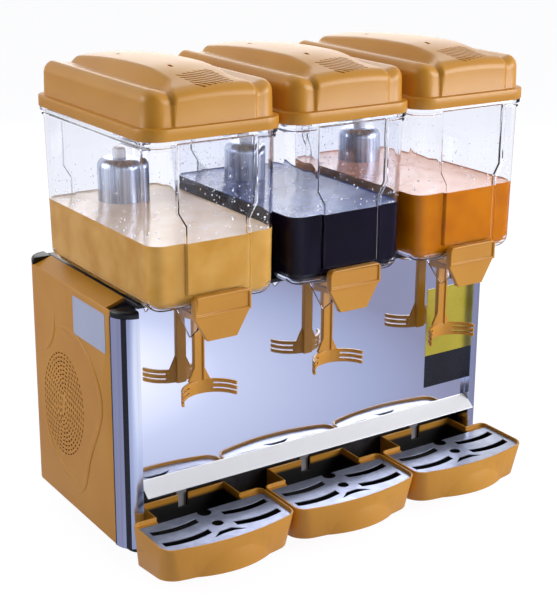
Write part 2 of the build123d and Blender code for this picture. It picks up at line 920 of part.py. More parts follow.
def drip_tray():
    outer = tray_form(0.0, tray_bottom, tray_rim_height)

    # The rounded chin that stands out of the lower front.
    chin_centre = (0, tray_front + tray_chin_radius, tray_bottom + tray_chin_level)
    chin = Pos(*chin_centre) * Sphere(tray_chin_radius)
    chin_half = tray_half - tray_draft - tray_corner
    chin &= block(
        (-chin_half, chin_half),
        (tray_front, tray_front + tray_bulge + tray_corner),
        (tray_bottom, grid_seat),
    )
    body = (outer + chin) & above_underside(0.0)

    # The tongue that goes under the ledge and rests on the clip.
    tongue_low = base_top + clip_thickness
    tongue_y = (tray_rear - tray_wall, tongue_rear)
    tongue = block((-tray_tongue_half, tray_tongue_half), tongue_y, (tongue_low, tray_rim_height))

    inner = tray_form(tray_wall + grid_ledge, tray_bottom, tray_rim_height) & above_underside(tray_wall)
    seat = tray_form(tray_wall, grid_seat, tray_rim_height)
    tongue_hollow = block(
        (-tray_tongue_half + tray_wall, tray_tongue_half - tray_wall),
        (tray_rear - tray_corner, tongue_rear - tray_wall),
        (tongue_low + tray_wall, tray_rim_height),
    )
    notch = block(
        (-tray_notch_half, tray_notch_half),
        (tongue_rear - 2 * tray_wall, tongue_rear),
        (tray_rim_height - tray_notch_depth, tray_rim_height),
    )
    return body + tongue - inner - seat - tongue_hollow - notch


def bowed_slot(side, y):
    """One bowed slot of a drip grid, on the left (-1) or right (1)."""
    near = side * grid_slot_near
    far = side * grid_slot_far
    middle = (near + far) / 2
    back = ThreePointArc((near, y), (middle, y - grid_slot_bow), (far, y))
    front_y = y - grid_slot_width
    front = ThreePointArc((near, front_y), (middle, front_y - grid_slot_bow), (far, front_y))
    return make_face(Curve() + [back, Line(back @ 1, front @ 1), front, Line(front @ 0, back @ 0)])


def gull_slot(y):
    """The gull-wing slot at the front of a drip grid."""
    tip = y - grid_gull_sweep
    half_width = grid_gull_width / 2
    points = [
        (-grid_gull_half, tip),
        (-grid_gull_width, y + half_width),
        (grid_gull_width, y + half_width),
        (grid_gull_half, tip),
        (grid_gull_width, y - half_width),
        (-grid_gull_width, y - half_width),
    ]
    return make_face(Polyline(*points, close=True))


def drip_grid():
    plate = tray_form(tray_wall + grid_clearance, grid_seat, grid_seat + grid_thickness)
    front = tray_front + tray_chin + tray_wall + grid_clearance
    rear = front + grid_length
    half = tray_half - tray_wall - grid_clearance
    plate &= block((-half, half), (front, rear), (grid_seat, grid_seat + grid_thickness))
    cuts = [
        Pos(0, rear - grid_notch_back) * Circle(grid_notch_radius),
        Pos(0, rear - grid_hole_back) * Circle(grid_hole_radius),
        gull_slot(rear - grid_gull_back),
    ]
    for side in (-1, 1):
        for back in grid_slot_rows:
            cuts.append(bowed_slot(side, rear - back))
    for cut in cuts:
        plate -= Pos(0, 0, grid_seat) * extrude(cut, grid_thickness, dir=(0, 0, 1))
    return plate


# Cabinet


def vent_slots():
    """Short slots on oval rings, evenly spaced and all along the rings' tangents."""
    slots = []
    rings = int((vent_half_width - vent_slot_width) / vent_ring_step)
    for number in range(1, rings + 1):
        short = number * vent_ring_step
        ring = Ellipse(short, short + vent_half_height - vent_half_width).edge()
        count = int(ring.length / vent_slot_pitch)
        for index in range(count):
            place = ring.position_at(index * ring.length / count, PositionMode.LENGTH)
            along = ring.tangent_at(index * ring.length / count, PositionMode.LENGTH)
            slot = Rot(0, 0, degrees(atan2(along.Y, along.X))) * SlotOverall(vent_slot_length, vent_slot_width)
            slots.append(Pos(place) * slot)
    field = Sketch() + slots
    return Plane.YZ * (Pos(vent_centre_y, vent_centre_z) * (Rot(0, 0, vent_tilt) * field))


def side_panel():
    """The left side panel."""
    front = pillar_y
    outer = [
        (-cabinet_half, front),
        (-cabinet_half, rear_face - panel_corner_radius),
        (-cabinet_half + panel_corner_radius, rear_face),
        (-cabinet_half + panel_corner_radius + panel_rear_flange, rear_face),
    ]
    inner_radius = panel_corner_radius - moulding
    centre = (outer[2][0], outer[1][1])

    def corner(radius):
        middle = (centre[0] - radius * cos(pi / 4), centre[1] + radius * sin(pi / 4))
        return ThreePointArc((centre[0] - radius, centre[1]), middle, (centre[0], centre[1] + radius))

    end = outer[3][0]
    edges = [
        Line(outer[0], outer[1]),
        corner(panel_corner_radius),
        Line(outer[2], outer[3]),
        Line(outer[3], (end, rear_panel_face)),
        Line((end, rear_panel_face), (end - moulding, rear_panel_face)),
        Line((end - moulding, rear_panel_face), (end - moulding, rear_face - moulding)),
        Line((end - moulding, rear_face - moulding), (centre[0], rear_face - moulding)),
        corner(inner_radius),
        Line((centre[0] - inner_radius, centre[1]), (-cabinet_half + moulding, front)),
        Line((-cabinet_half + moulding, front), outer[0]),
    ]
    wall = Pos(0, 0, base_bottom) * extrude(make_face(Curve() + edges), side_top - base_bottom)

    # The shoulder slopes up to the deck.
    slope = [
        (-cabinet_half, side_top),
        (-deck_half, deck_top),
        (-deck_half, deck_bottom),
        (-cabinet_half + moulding, side_top - moulding),
        (-cabinet_half, side_top - moulding),
    ]
    wall += prism_y(slope, front + shoulder_front_gap, centre[1])

    # Low ribs that swing round the vent field, then the slots.
    skin = -cabinet_half
    for route in (vent_rib, foot_rib, shoulder_rib):
        band = Plane.YZ * trace(Spline(*route), rib_width)
        wall += Pos(skin - rib_height, 0, 0) * extrude(band, rib_height + moulding / 2, dir=(1, 0, 0))
    return wall - Pos(skin, 0, 0) * extrude(vent_slots(), moulding, dir=(1, 0, 0))


def sector(radius, start, end):
    """A pie slice about the left pillar's centre. Angles are from -X towards -Y."""

    def point(angle):
        return (-pillar_x - radius * cos(radians(angle)), pillar_y - radius * sin(radians(angle)))

    middle = point((start + end) / 2)
    centre = (-pillar_x, pillar_y)
    rim = ThreePointArc(point(start), middle, point(end))
    return make_face(Curve() + [Line(centre, point(start)), rim, Line(point(end), centre)])


def stripe():
    """The dark stripe let into the left pillar."""
    ring = sector(pillar_radius, stripe_start, stripe_end) - sector(
        pillar_radius - stripe_depth, stripe_start - stripe_cut_margin, stripe_end + stripe_cut_margin
    )
    return Pos(0, 0, base_bottom) * extrude(ring, pillar_top - base_bottom)


def pillar():
    """The left front pillar, a hollow quarter-round extrusion."""
    height = pillar_top - base_bottom
    solid = Pos(0, 0, base_bottom) * extrude(sector(pillar_radius, 0, 90), height)
    core = Pos(0, 0, base_bottom) * extrude(sector(pillar_radius - pillar_wall, 0, 90), height)
    keep = block(
        (-cabinet_half, -pillar_x - pillar_wall),
        (pillar_front, pillar_y - pillar_wall),
        (base_bottom, pillar_top),
    )
    return solid - (core & keep) - stripe()


def cap(centre, radius, depth, z):
    """A quarter-round cap on a left corner, rounded over its top, between two Y and two Z values."""
    disc = rod(radius, (*centre, z[0]), (*centre, z[1]))
    disc = fillet(disc.edges().group_by(Axis.Z)[-1], cap_round)
    return disc & block((centre[0] - radius, centre[0]), depth, z)


def pillar_cap():
    """The black cap on the left pillar."""
    centre = (-pillar_x, pillar_y)
    return cap(centre, pillar_radius, (pillar_front, pillar_y), (pillar_top, pillar_top + cap_height))


def corner_cap():
    """The black cap on the left rear corner."""
    centre = (-rear_half, rear_corner_y)
    return cap(centre, panel_corner_radius, (rear_corner_y, rear_face), (side_top, side_top + rear_cap_height))


def front_panel():
    """The polished sheet, bent forward at its foot into the drip ledge."""
    half = pillar_x
    sheet_z = (ledge_z, deck_bottom)
    piece = block((-half, half), (panel_face, panel_face + sheet), sheet_z)
    outline = [
        (panel_face + sheet, ledge_z),
        (panel_face + sheet, ledge_z + sheet),
        (panel_face, ledge_z + sheet),
        (panel_face - ledge_reach, ledge_z + sheet - ledge_fall),
        (panel_face - ledge_reach, ledge_z - ledge_fall),
        (panel_face, ledge_z),
    ]
    return piece + prism_x(outline, -half, half)


def top_deck():
    back = rear_panel_face - sheet
    piece = block((-deck_half, deck_half), (panel_face - deck_overhang, back), (deck_bottom, deck_top))

    # The rear corners leave room for the corner caps.
    for side in (-1, 1):
        x = sorted((side * rear_half, side * cabinet_half))
        piece -= block(x, (rear_corner_y, rear_face), (deck_bottom, deck_top))
    return piece


def base_tray():
    inside = cabinet_half - moulding
    half = pillar_x
    floor = block((-inside, inside), (pillar_y, rear_corner_y), (base_bottom, base_top))
    back = rear_panel_face - sheet
    floor += block((-rear_half, rear_half), (rear_corner_y, back), (base_bottom, base_top))
    floor += block((-half, half), (panel_face, pillar_y), (base_bottom, base_top))
    kick = block((-half, half), (recess_back, recess_back + sheet), (base_top, ledge_z - sheet))
    roof_z = (ledge_z - 2 * sheet, ledge_z - sheet)
    roof = block((-half, half), (panel_face + sheet, recess_back + sheet), roof_z)
    flange_y = (panel_face + sheet, panel_face + 2 * sheet)
    flange = block((-half, half), flange_y, (ledge_z - 2 * sheet, ledge_z + base_flange_height))
    return floor + kick + roof + flange


def tray_clip():
    """The strip that a tray's tongue rests on, and the tab behind it."""
    half = clip_width / 2
    strip = block(
        (-half, half), (tray_rear + clip_front_gap, recess_back), (base_top, base_top + clip_thickness)
    )
    tab_y = (recess_back - clip_thickness, recess_back)
    tab_half = clip_tab_width / 2
    return strip + block((-tab_half, tab_half), tab_y, (base_top, base_top + clip_tab_height))


def rear_panel():
    half = rear_half
    y = (rear_panel_face - sheet, rear_panel_face)
    piece = block((-half, half), y, (base_bottom, deck_top))
    for index in range(2):
        piece -= rocker_window(index, y)
    middle = (base_bottom + deck_top) / 2
    first = middle - (louvre_count - 1) * louvre_pitch / 2
    for index in range(louvre_count):
        z = first + index * louvre_pitch
        for side in (-1, 1):
            centre = side * half / 2
            x = (centre - louvre_length / 2, centre + louvre_length / 2)
            piece -= block(x, y, (z, z + louvre_gap))
    return piece


def foot(x, y):
    pad = rod(foot_radius, (x, y, 0), (x, y, base_bottom))
    return fillet(pad.edges().group_by(Axis.Z)[0], foot_round)


# Cold machinery

condenser_x = -cabinet_half + moulding + condenser_gap
condenser_back = condenser_x + condenser_thickness
fan_face = condenser_back + shroud_thickness
fan_y = vent_centre_y
fan_z = base_top + condenser_height / 2 + condenser_lift
fan_x = fan_face + fan_tip_gap
fan_back = fan_x + fan_blade_depth


def condenser():
    y = (fan_y - condenser_width / 2, fan_y + condenser_width / 2)
    z = (base_top, fan_z + condenser_height / 2)
    piece = block((condenser_x, condenser_back), y, z)
    pitch = condenser_width / (condenser_fins + 1)
    for index in range(condenser_fins):
        centre = y[0] + (index + 1) * pitch
        slot = (centre - condenser_fin_slot / 2, centre + condenser_fin_slot / 2)
        deep = (condenser_x, condenser_back - condenser_fin_slot)
        piece -= block(deep, slot, (z[0] + condenser_foot, z[1] - condenser_head))
    return piece


def fan_shroud():
    y = (fan_y - condenser_width / 2, fan_y + condenser_width / 2)
    z = (base_top, fan_z + condenser_height / 2)
    plate = block((condenser_back, fan_face), y, z)
    mouth = fan_radius + fan_tip_gap
    plate -= rod(mouth, (condenser_back, fan_y, fan_z), (fan_face, fan_y, fan_z))
    ring = tube(
        mouth + shroud_thickness, mouth, (condenser_back, fan_y, fan_z), (fan_back, fan_y, fan_z)
    )
    return plate + ring


def fan_blade():
    hub = rod(fan_hub_radius, (fan_x, fan_y, fan_z), (fan_back, fan_y, fan_z))
    for index in range(fan_blades):
        vane = Box(fan_blade_chord, shroud_thickness, fan_radius - fan_hub_radius / 2)
        vane = Rot(0, 0, fan_blade_angle) * vane
        vane = Pos((fan_x + fan_back) / 2, 0, (fan_radius + fan_hub_radius / 2) / 2) * vane
        vane &= rod(fan_radius, (fan_x, 0, 0), (fan_back, 0, 0))
        hub += Pos(0, fan_y, fan_z) * (Rot(index * 360 / fan_blades, 0, 0) * vane)
    shaft = rod(fan_shaft_radius, (fan_back, fan_y, fan_z), (fan_back + fan_motor_length / 2, fan_y, fan_z))
    return hub + shaft


def fan_motor():
    start = fan_back + fan_tip_gap
    end = start + fan_motor_length
    piece = rod(fan_motor_radius, (start, fan_y, fan_z), (end, fan_y, fan_z))
    half = fan_motor_leg_half
    piece += block((start + half, end - half), (fan_y - half, fan_y + half), (base_top, fan_z))
    piece += block(
        (start, end),
        (fan_y - fan_motor_radius, fan_y + fan_motor_radius),
        (base_top, base_top + fan_motor_plate),
    )
    bore = fan_shaft_radius + running_gap
    return piece - rod(bore, (start, fan_y, fan_z), (start + fan_bore_depth, fan_y, fan_z))


def compressor():
    centre = (compressor_x, compressor_y)
    low = base_top + compressor_foot
    top = low + compressor_height
    can = rod(compressor_radius, (*centre, low), (*centre, top))
    can = fillet(can.edges().group_by(Axis.Z)[-1], compressor_dome)
    plate = block(
        (compressor_x - compressor_radius, compressor_x + compressor_radius),
        (compressor_y - compressor_radius, compressor_y + compressor_radius),
        (low, low + compressor_plate),
    )
    piece = can + plate
    spread = compressor_radius - compressor_foot_inset
    for x in (-spread, spread):
        for y in (-spread, spread):
            post = (compressor_x + x, compressor_y + y)
            piece += rod(compressor_foot_radius, (*post, base_top), (*post, low))
    inside = compressor_radius - compressor_wall
    return piece - rod(inside, (*centre, low), (*centre, top - compressor_dome))


drier_x = compressor_x - compressor_radius - drier_gap
drier_z = base_top + drier_lift


def filter_drier():
    y = (compressor_y - drier_length / 2, compressor_y + drier_length / 2)
    piece = rod(drier_radius, (drier_x, y[0], drier_z), (drier_x, y[1], drier_z))
    piece = fillet(piece.edges(), drier_round)
    saddle = (drier_x - drier_saddle_half, drier_x + drier_saddle_half)
    saddle_y = (compressor_y - drier_saddle_length / 2, compressor_y + drier_saddle_length / 2)
    cradle = block(saddle, saddle_y, (base_top, drier_z))
    return piece + cradle


def pipe(points, radius):
    """A bent copper pipe through a list of points."""
    path = FilletPolyline(*points, radius=radius)
    section = Plane(origin=path @ 0, z_dir=path % 0) * Circle(pipe_radius)
    return sweep(section, path=path)


def refrigerant_pipes():
    top = base_top + compressor_foot + compressor_height
    header = top + pipe_rise + compressor_dome
    suction_y = evaporator_y + pipe_bend
    riser_x = compressor_x + pipe_run
    pieces = []
    main = [
        (compressor_x, compressor_y, top),
        (compressor_x, compressor_y, header),
        (compressor_x, suction_y, header),
        (riser_x, suction_y, header),
        (riser_x, suction_y, deck_bottom),
    ]
    pieces.append(pipe(main, pipe_bend))
    drier_end = compressor_y + drier_length / 2
    feed = [
        (drier_x, drier_end, drier_z),
        (drier_x, drier_end + pipe_run, drier_z),
        (drier_x, drier_end + pipe_run, deck_bottom),
    ]
    pieces.append(pipe(feed, pipe_bend))
    condenser_middle = (condenser_x + condenser_back) / 2
    condenser_side = fan_y - condenser_width / 2
    drier_start = compressor_y - drier_length / 2
    liquid = [
        (drier_x, drier_start, drier_z),
        (drier_x, drier_start - pipe_run, drier_z),
        (condenser_middle, drier_start - pipe_run, drier_z),
        (condenser_middle, condenser_side, drier_z),
    ]
    pieces.append(pipe(liquid, pipe_tight_bend))
    discharge_z = base_top + compressor_foot + compressor_height / 2
    discharge = [
        (compressor_x - compressor_radius, compressor_y, discharge_z),
        (drier_x, compressor_y, discharge_z),
        (drier_x, drier_start - pipe_offset, discharge_z),
        (condenser_middle, drier_start - pipe_offset, discharge_z),
        (condenser_middle, condenser_side, discharge_z),
    ]
    pieces.append(pipe(discharge, pipe_bend))
    return group(pieces)


# Controls at the rear


def control_box():
    x = (control_x - control_width / 2, control_x + control_width / 2)
    z = (control_z - control_height / 2, control_z + control_height / 2)
    y = (rear_panel_face - sheet - control_depth, rear_panel_face - sheet)
    outer = block(x, y, z)
    inner = block(
        (x[0] + moulding, x[1] - moulding), (y[0] + moulding, y[1]), (z[0] + moulding, z[1] - moulding)
    )
    return outer - inner


switch_plate_z = base_top + switch_plate_lift
switch_plate_x = control_x
rocker_y = rear_panel_face + switch_plate_thickness / 2


def rocker_window(index, y):
    """The hole for one rocker, between two Y values."""
    centre = switch_plate_x + index * switch_spread
    half_width = switch_width / 2 + fit_gap
    half_height = switch_height / 2
    z = (switch_plate_z - half_height, switch_plate_z + half_height)
    return block((centre - half_width, centre + half_width), y, z)


def switch_plate():
    y = (rear_panel_face, rear_panel_face + switch_plate_thickness)
    x = (switch_plate_x - switch_plate_width / 2, switch_plate_x + switch_plate_width / 2)
    z = (switch_plate_z - switch_plate_height / 2, switch_plate_z + switch_plate_height / 2)
    piece = block(x, y, z)
    reach = switch_width / 2 + rocker_pin_length + fit_gap
    for index in range(2):
        centre = switch_plate_x + index * switch_spread
        piece -= rocker_window(index, y)
        ends = (centre - reach, rocker_y, switch_plate_z), (centre + reach, rocker_y, switch_plate_z)
        piece -= rod(rocker_pin_radius + running_gap, *ends)
    knob_x = switch_plate_x - switch_spread
    bore = knob_shaft_radius + running_gap
    return piece - rod(bore, (knob_x, y[0], switch_plate_z), (knob_x, y[1], switch_plate_z))


def rocker(index):
    """A dished rocker on two stub pins, tipped to its off side."""
    half = switch_width / 2
    outline = [
        (-rocker_back, -rocker_half),
        (rocker_front, -rocker_half),
        (rocker_front - rocker_dish, 0),
        (rocker_front, rocker_half),
        (-rocker_back, rocker_half),
    ]
    reach = half + rocker_pin_length
    piece = prism_x(outline, -half, half) + rod(rocker_pin_radius, (-reach, 0, 0), (reach, 0, 0))
    centre = switch_plate_x + index * switch_spread
    return Pos(centre, rocker_y, switch_plate_z) * (Rot(-rocker_tilt, 0, 0) * piece)


def thermostat_knob():
    x = switch_plate_x - switch_spread
    y = rear_panel_face + switch_plate_thickness + fit_gap
    skirt_end = y + knob_skirt_height
    piece = rod(knob_radius, (x, y, switch_plate_z), (x, skirt_end, switch_plate_z))
    bar = block(
        (x - knob_bar_half, x + knob_bar_half),
        (skirt_end, y + knob_height),
        (switch_plate_z - knob_radius, switch_plate_z + knob_radius),
    )
    piece += bar & rod(knob_radius, (x, y, switch_plate_z), (x, y + knob_height, switch_plate_z))
    shaft_start = rear_panel_face + fit_gap
    return piece + rod(knob_shaft_radius, (x, shaft_start, switch_plate_z), (x, y, switch_plate_z))


def mains_inlet():
    x = switch_plate_x + inlet_spread
    z = switch_plate_z
    end = rear_panel_face + inlet_length
    piece = rod(inlet_radius, (x, rear_panel_face, z), (x, end, z))
    return piece - rod(inlet_bore_radius, (x, rear_panel_face + sheet, z), (x, end, z))


def panel_screws():
    pieces = []
    half = rear_half - panel_rear_flange - screw_margin
    for x in (-half, 0, half):
        for z in (base_bottom + screw_margin, deck_bottom - screw_margin):
            head = rod(screw_radius, (x, rear_panel_face, z), (x, rear_panel_face + screw_height, z))
            slot = block(
                (x - screw_radius, x + screw_radius),
                (rear_panel_face + screw_height - screw_slot_depth, rear_panel_face + screw_height),
                (z - screw_slot_width / 2, z + screw_slot_width / 2),
            )
            pieces.append(head - slot)
    return group(pieces)


# Everything is written out, one file for each piece

os.makedirs("parts", exist_ok=True)

station_pieces = {
    "bowl": bowl(),
    "lid": lid(),
    "tap_cover": tap_cover(),
    "tap_lever": tap_lever(),
    "tap_plunger": tap_plunger(),
    "tap_spring": tap_spring(),
    "impeller": impeller(),
    "drive_magnet": drive_magnet(),
    "drip_tray": drip_tray(),
    "drip_grid": drip_grid(),
}
for name, piece in station_pieces.items():
    for side, x in station_x.items():
        save(f"{name}_{side}", Pos(x, 0, 0) * piece)

for name, piece in {
    "evaporators": evaporator(),
    "dome_caps": dome_cap(),
    "bowl_gaskets": gasket(),
    "drive_motors": drive_motor(),
    "tray_clips": tray_clip(),
}.items():
    save(name, group(Pos(x, 0, 0) * piece for x in station_x.values()))

for name, piece in {"side_panel": side_panel(), "pillar": pillar()}.items():
    left, right = both_sides(piece)
    save(name + "_left", left)
    save(name + "_right", right)

save("pillar_stripes", group(both_sides(stripe())))
save("corner_caps", group(both_sides(pillar_cap()) + both_sides(corner_cap())))
save("front_panel", front_panel())
save("rear_panel", rear_panel())
save("top_deck", top_deck())
save("base_tray", base_tray())
foot_x = cabinet_half - foot_inset
foot_y = (pillar_y + foot_front_inset, rear_panel_face - foot_inset)
save("feet", group(foot(x, y) for x in (-foot_x, foot_x) for y in foot_y))
save("condenser", condenser())
save("fan_shroud", fan_shroud())
save("fan_blade", fan_blade())
save("fan_motor", fan_motor())
save("compressor", compressor())
save("filter_drier", filter_drier())
save("refrigerant_pipes", refrigerant_pipes())
save("control_box", control_box())
save("switch_plate", switch_plate())
save("rocker_power", rocker(0))
save("rocker_mixing", rocker(1))
save("thermostat_knob", thermostat_knob())
save("mains_inlet", mains_inlet())
save("panel_screws", panel_screws())
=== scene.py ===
from math import cos, pi, radians, sin, sqrt

import bmesh
import bpy
from mathutils import Matrix, Quaternion, Vector
from mathutils.bvhtree import BVHTree


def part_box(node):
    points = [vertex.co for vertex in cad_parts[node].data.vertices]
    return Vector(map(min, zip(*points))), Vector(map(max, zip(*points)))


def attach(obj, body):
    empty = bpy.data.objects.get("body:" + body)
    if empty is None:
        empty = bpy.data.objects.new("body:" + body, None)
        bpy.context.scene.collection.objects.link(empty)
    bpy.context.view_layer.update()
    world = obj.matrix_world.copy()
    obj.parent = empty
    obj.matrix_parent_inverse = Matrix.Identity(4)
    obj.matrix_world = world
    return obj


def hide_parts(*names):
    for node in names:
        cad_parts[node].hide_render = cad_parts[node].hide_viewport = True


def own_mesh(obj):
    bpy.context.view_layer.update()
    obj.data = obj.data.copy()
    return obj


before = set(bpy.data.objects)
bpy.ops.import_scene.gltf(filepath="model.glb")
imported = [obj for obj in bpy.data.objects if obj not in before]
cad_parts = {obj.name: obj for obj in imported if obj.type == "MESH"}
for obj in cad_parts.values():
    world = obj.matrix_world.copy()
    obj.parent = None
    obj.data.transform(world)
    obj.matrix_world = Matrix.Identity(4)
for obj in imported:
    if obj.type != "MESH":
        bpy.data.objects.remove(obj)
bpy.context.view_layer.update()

# The viewpoint: in front of the machine and to its left, a little above the lids.
# A long lens from about 1.9 metres, with the frame set low on the lens axis.
scene = bpy.context.scene
scene.view_settings.view_transform = "Standard"
lens = bpy.data.cameras.new("viewpoint")
lens.lens = 77.74
lens.shift_y = -0.094
viewpoint = bpy.data.objects.new("viewpoint", lens)
scene.collection.objects.link(viewpoint)
sight_line = Vector((0.5329, 0.7980, -0.2815))
camera_roll = radians(0.39)
viewpoint.location = (-0.9434, -1.3959, 0.8436)
viewpoint.rotation_mode = "QUATERNION"
viewpoint.rotation_quaternion = sight_line.to_track_quat("-Z", "Y") @ Quaternion((0, 0, 1), camera_roll)
scene.camera = viewpoint


# The studio: a pale counter under a white surround, lit by four soft boxes.
# The room behind the camera is dark, so that what faces it keeps its full colour. Mirrors see a
# painted pool of light on the counter, which darkens away from a point in front of the machine.
def either_of(path, names, link, nodes):
    """1 for the rays of any of the named kinds."""
    seen = path.outputs[names[0]]
    for name in names[1:]:
        either = nodes.new("ShaderNodeMath")
        either.operation = "MAXIMUM"
        link(seen, either.inputs[0])
        link(path.outputs[name], either.inputs[1])
        seen = either.outputs[0]
    return seen


surround = bpy.data.worlds.new("white_surround")
surround.use_nodes = True
scene.world = surround
nodes = surround.node_tree.nodes
link = surround.node_tree.links.new
path = nodes.new("ShaderNodeLightPath")
dim_light = nodes["Background"]
dim_light.inputs["Color"].default_value = (0.93, 0.96, 1.0, 1)
dim_light.inputs["Strength"].default_value = 0.22
heading = nodes.new("ShaderNodeTexCoord")
toward_camera = nodes.new("ShaderNodeVectorMath")
toward_camera.operation = "DOT_PRODUCT"
toward_camera.inputs[1].default_value = -sight_line
link(heading.outputs["Generated"], toward_camera.inputs[0])
room_light = nodes.new("ShaderNodeMapRange")
room_light.interpolation_type = "SMOOTHSTEP"
room_light.inputs["From Min"].default_value = 0.35
room_light.inputs["From Max"].default_value = 0.85
room_light.inputs["To Min"].default_value = 1.0
room_light.inputs["To Max"].default_value = 0.05
link(toward_camera.outputs["Value"], room_light.inputs["Value"])
room = nodes.new("ShaderNodeBackground")
room.inputs["Color"].default_value = (0.97, 0.98, 1.0, 1)
link(room_light.outputs["Result"], room.inputs["Strength"])
white_wall = nodes.new("ShaderNodeBackground")
white_wall.inputs["Color"].default_value = (1.0, 1.0, 1.0, 1)
in_gloss = nodes.new("ShaderNodeMixShader")
link(path.outputs["Is Glossy Ray"], in_gloss.inputs["Fac"])
link(dim_light.outputs["Background"], in_gloss.inputs[1])
link(room.outputs["Background"], in_gloss.inputs[2])
in_sight = nodes.new("ShaderNodeMixShader")
link(either_of(path, ("Is Camera Ray", "Is Transmission Ray"), link, nodes), in_sight.inputs["Fac"])
link(in_gloss.outputs["Shader"], in_sight.inputs[1])
link(white_wall.outputs["Background"], in_sight.inputs[2])
link(in_sight.outputs["Shader"], nodes["World Output"].inputs["Surface"])

counter_half = 9.0
counter_mesh = bpy.data.meshes.new("counter")
corners = [(-1, -1), (1, -1), (1, 1), (-1, 1)]
counter_mesh.from_pydata([(x * counter_half, y * counter_half, 0) for x, y in corners], [], [(0, 1, 2, 3)])
counter = bpy.data.objects.new("counter", counter_mesh)
scene.collection.objects.link(counter)
counter_finish = bpy.data.materials.new("pale_counter")
counter_finish.use_nodes = True
nodes = counter_finish.node_tree.nodes
link = counter_finish.node_tree.links.new
matt = nodes.new("ShaderNodeBsdfDiffuse")
glow = nodes.new("ShaderNodeEmission")
for shader in (matt, glow):
    shader.inputs["Color"].default_value = (0.93, 0.93, 0.94, 1)
glow.inputs["Strength"].default_value = 1.2
path = nodes.new("ShaderNodeLightPath")
share = nodes.new("ShaderNodeMath")
share.operation = "MULTIPLY"
share.inputs[1].default_value = 0.84
link(either_of(path, ("Is Camera Ray", "Is Transmission Ray"), link, nodes), share.inputs[0])
in_view = nodes.new("ShaderNodeMixShader")
link(share.outputs[0], in_view.inputs["Fac"])
link(matt.outputs["BSDF"], in_view.inputs[1])
link(glow.outputs["Emission"], in_view.inputs[2])
# Painted reflection: for glossy rays the counter glows as a painted pool of light, darker with distance from
# its centre.
place = nodes.new("ShaderNodeTexCoord")
from_painted_pool = nodes.new("ShaderNodeVectorMath")
from_painted_pool.operation = "DISTANCE"
from_painted_pool.inputs[1].default_value = (-0.15, -0.75, 0.0)
link(place.outputs["Object"], from_painted_pool.inputs[0])
painted_pool_ramp = nodes.new("ShaderNodeValToRGB")
ramp = painted_pool_ramp.color_ramp
ramp.elements[0].position = 0.22
ramp.elements[0].color = (0.96, 0.96, 0.98, 1)
ramp.elements[1].position = 0.74
ramp.elements[1].color = (0.29, 0.29, 0.40, 1)
for distance, colour in (
    (0.30, (0.78, 0.81, 0.95)),
    (0.36, (0.63, 0.67, 0.83)),
    (0.48, (0.51, 0.55, 0.70)),
    (0.60, (0.39, 0.43, 0.59)),
):
    ramp.elements.new(distance).color = (*colour, 1)
link(from_painted_pool.outputs["Value"], painted_pool_ramp.inputs["Fac"])
mirrored = nodes.new("ShaderNodeEmission")
mirrored.inputs["Strength"].default_value = 1.17
link(painted_pool_ramp.outputs["Color"], mirrored.inputs["Color"])
only_mirrored = nodes.new("ShaderNodeMath")
only_mirrored.operation = "SUBTRACT"
only_mirrored.use_clamp = True
link(path.outputs["Is Glossy Ray"], only_mirrored.inputs[0])
link(path.outputs["Is Transmission Ray"], only_mirrored.inputs[1])
choose = nodes.new("ShaderNodeMixShader")
link(only_mirrored.outputs[0], choose.inputs["Fac"])
link(in_view.outputs["Shader"], choose.inputs[1])
link(mirrored.outputs["Emission"], choose.inputs[2])
link(choose.outputs["Shader"], nodes["Material Output"].inputs["Surface"])
counter_mesh.materials.append(counter_finish)

lamp_target = Vector((0, 0, 0.33))
for name, place, width, power in (
    ("front_softbox", (2.1, -2.25, 1.2), 1.75, 76.0),
    ("left_softbox", (-1.8, 0.75, 1.15), 1.0, 14.5),
    ("top_softbox", (0.0, 0.3, 2.2), 1.5, 6.0),
    ("rear_softbox", (1.3, 2.0, 1.15), 1.6, 16.0),
):
    lamp = bpy.data.lights.new(name, "AREA")
    lamp.size = width
    lamp.energy = power
    softbox = bpy.data.objects.new(name, lamp)
    softbox.location = place
    aim = lamp_target - Vector(place)
    softbox.rotation_euler = aim.to_track_quat("-Z", "Y").to_euler()
    scene.collection.objects.link(softbox)


# The base tray, the feet and the tray clips: a folded and galvanised sheet, painted dark as painted shade, on
# four rubber pads.
# The clips are small grey strips screwed into the recess that takes the drip trays.
def tone(red, green, blue):
    """A display colour from 0 to 255 as the linear colour that a shader takes."""

    def linear(value):
        share = value / 255
        return share / 12.92 if share <= 0.04045 else ((share + 0.055) / 1.055) ** 2.4

    return (linear(red), linear(green), linear(blue), 1)


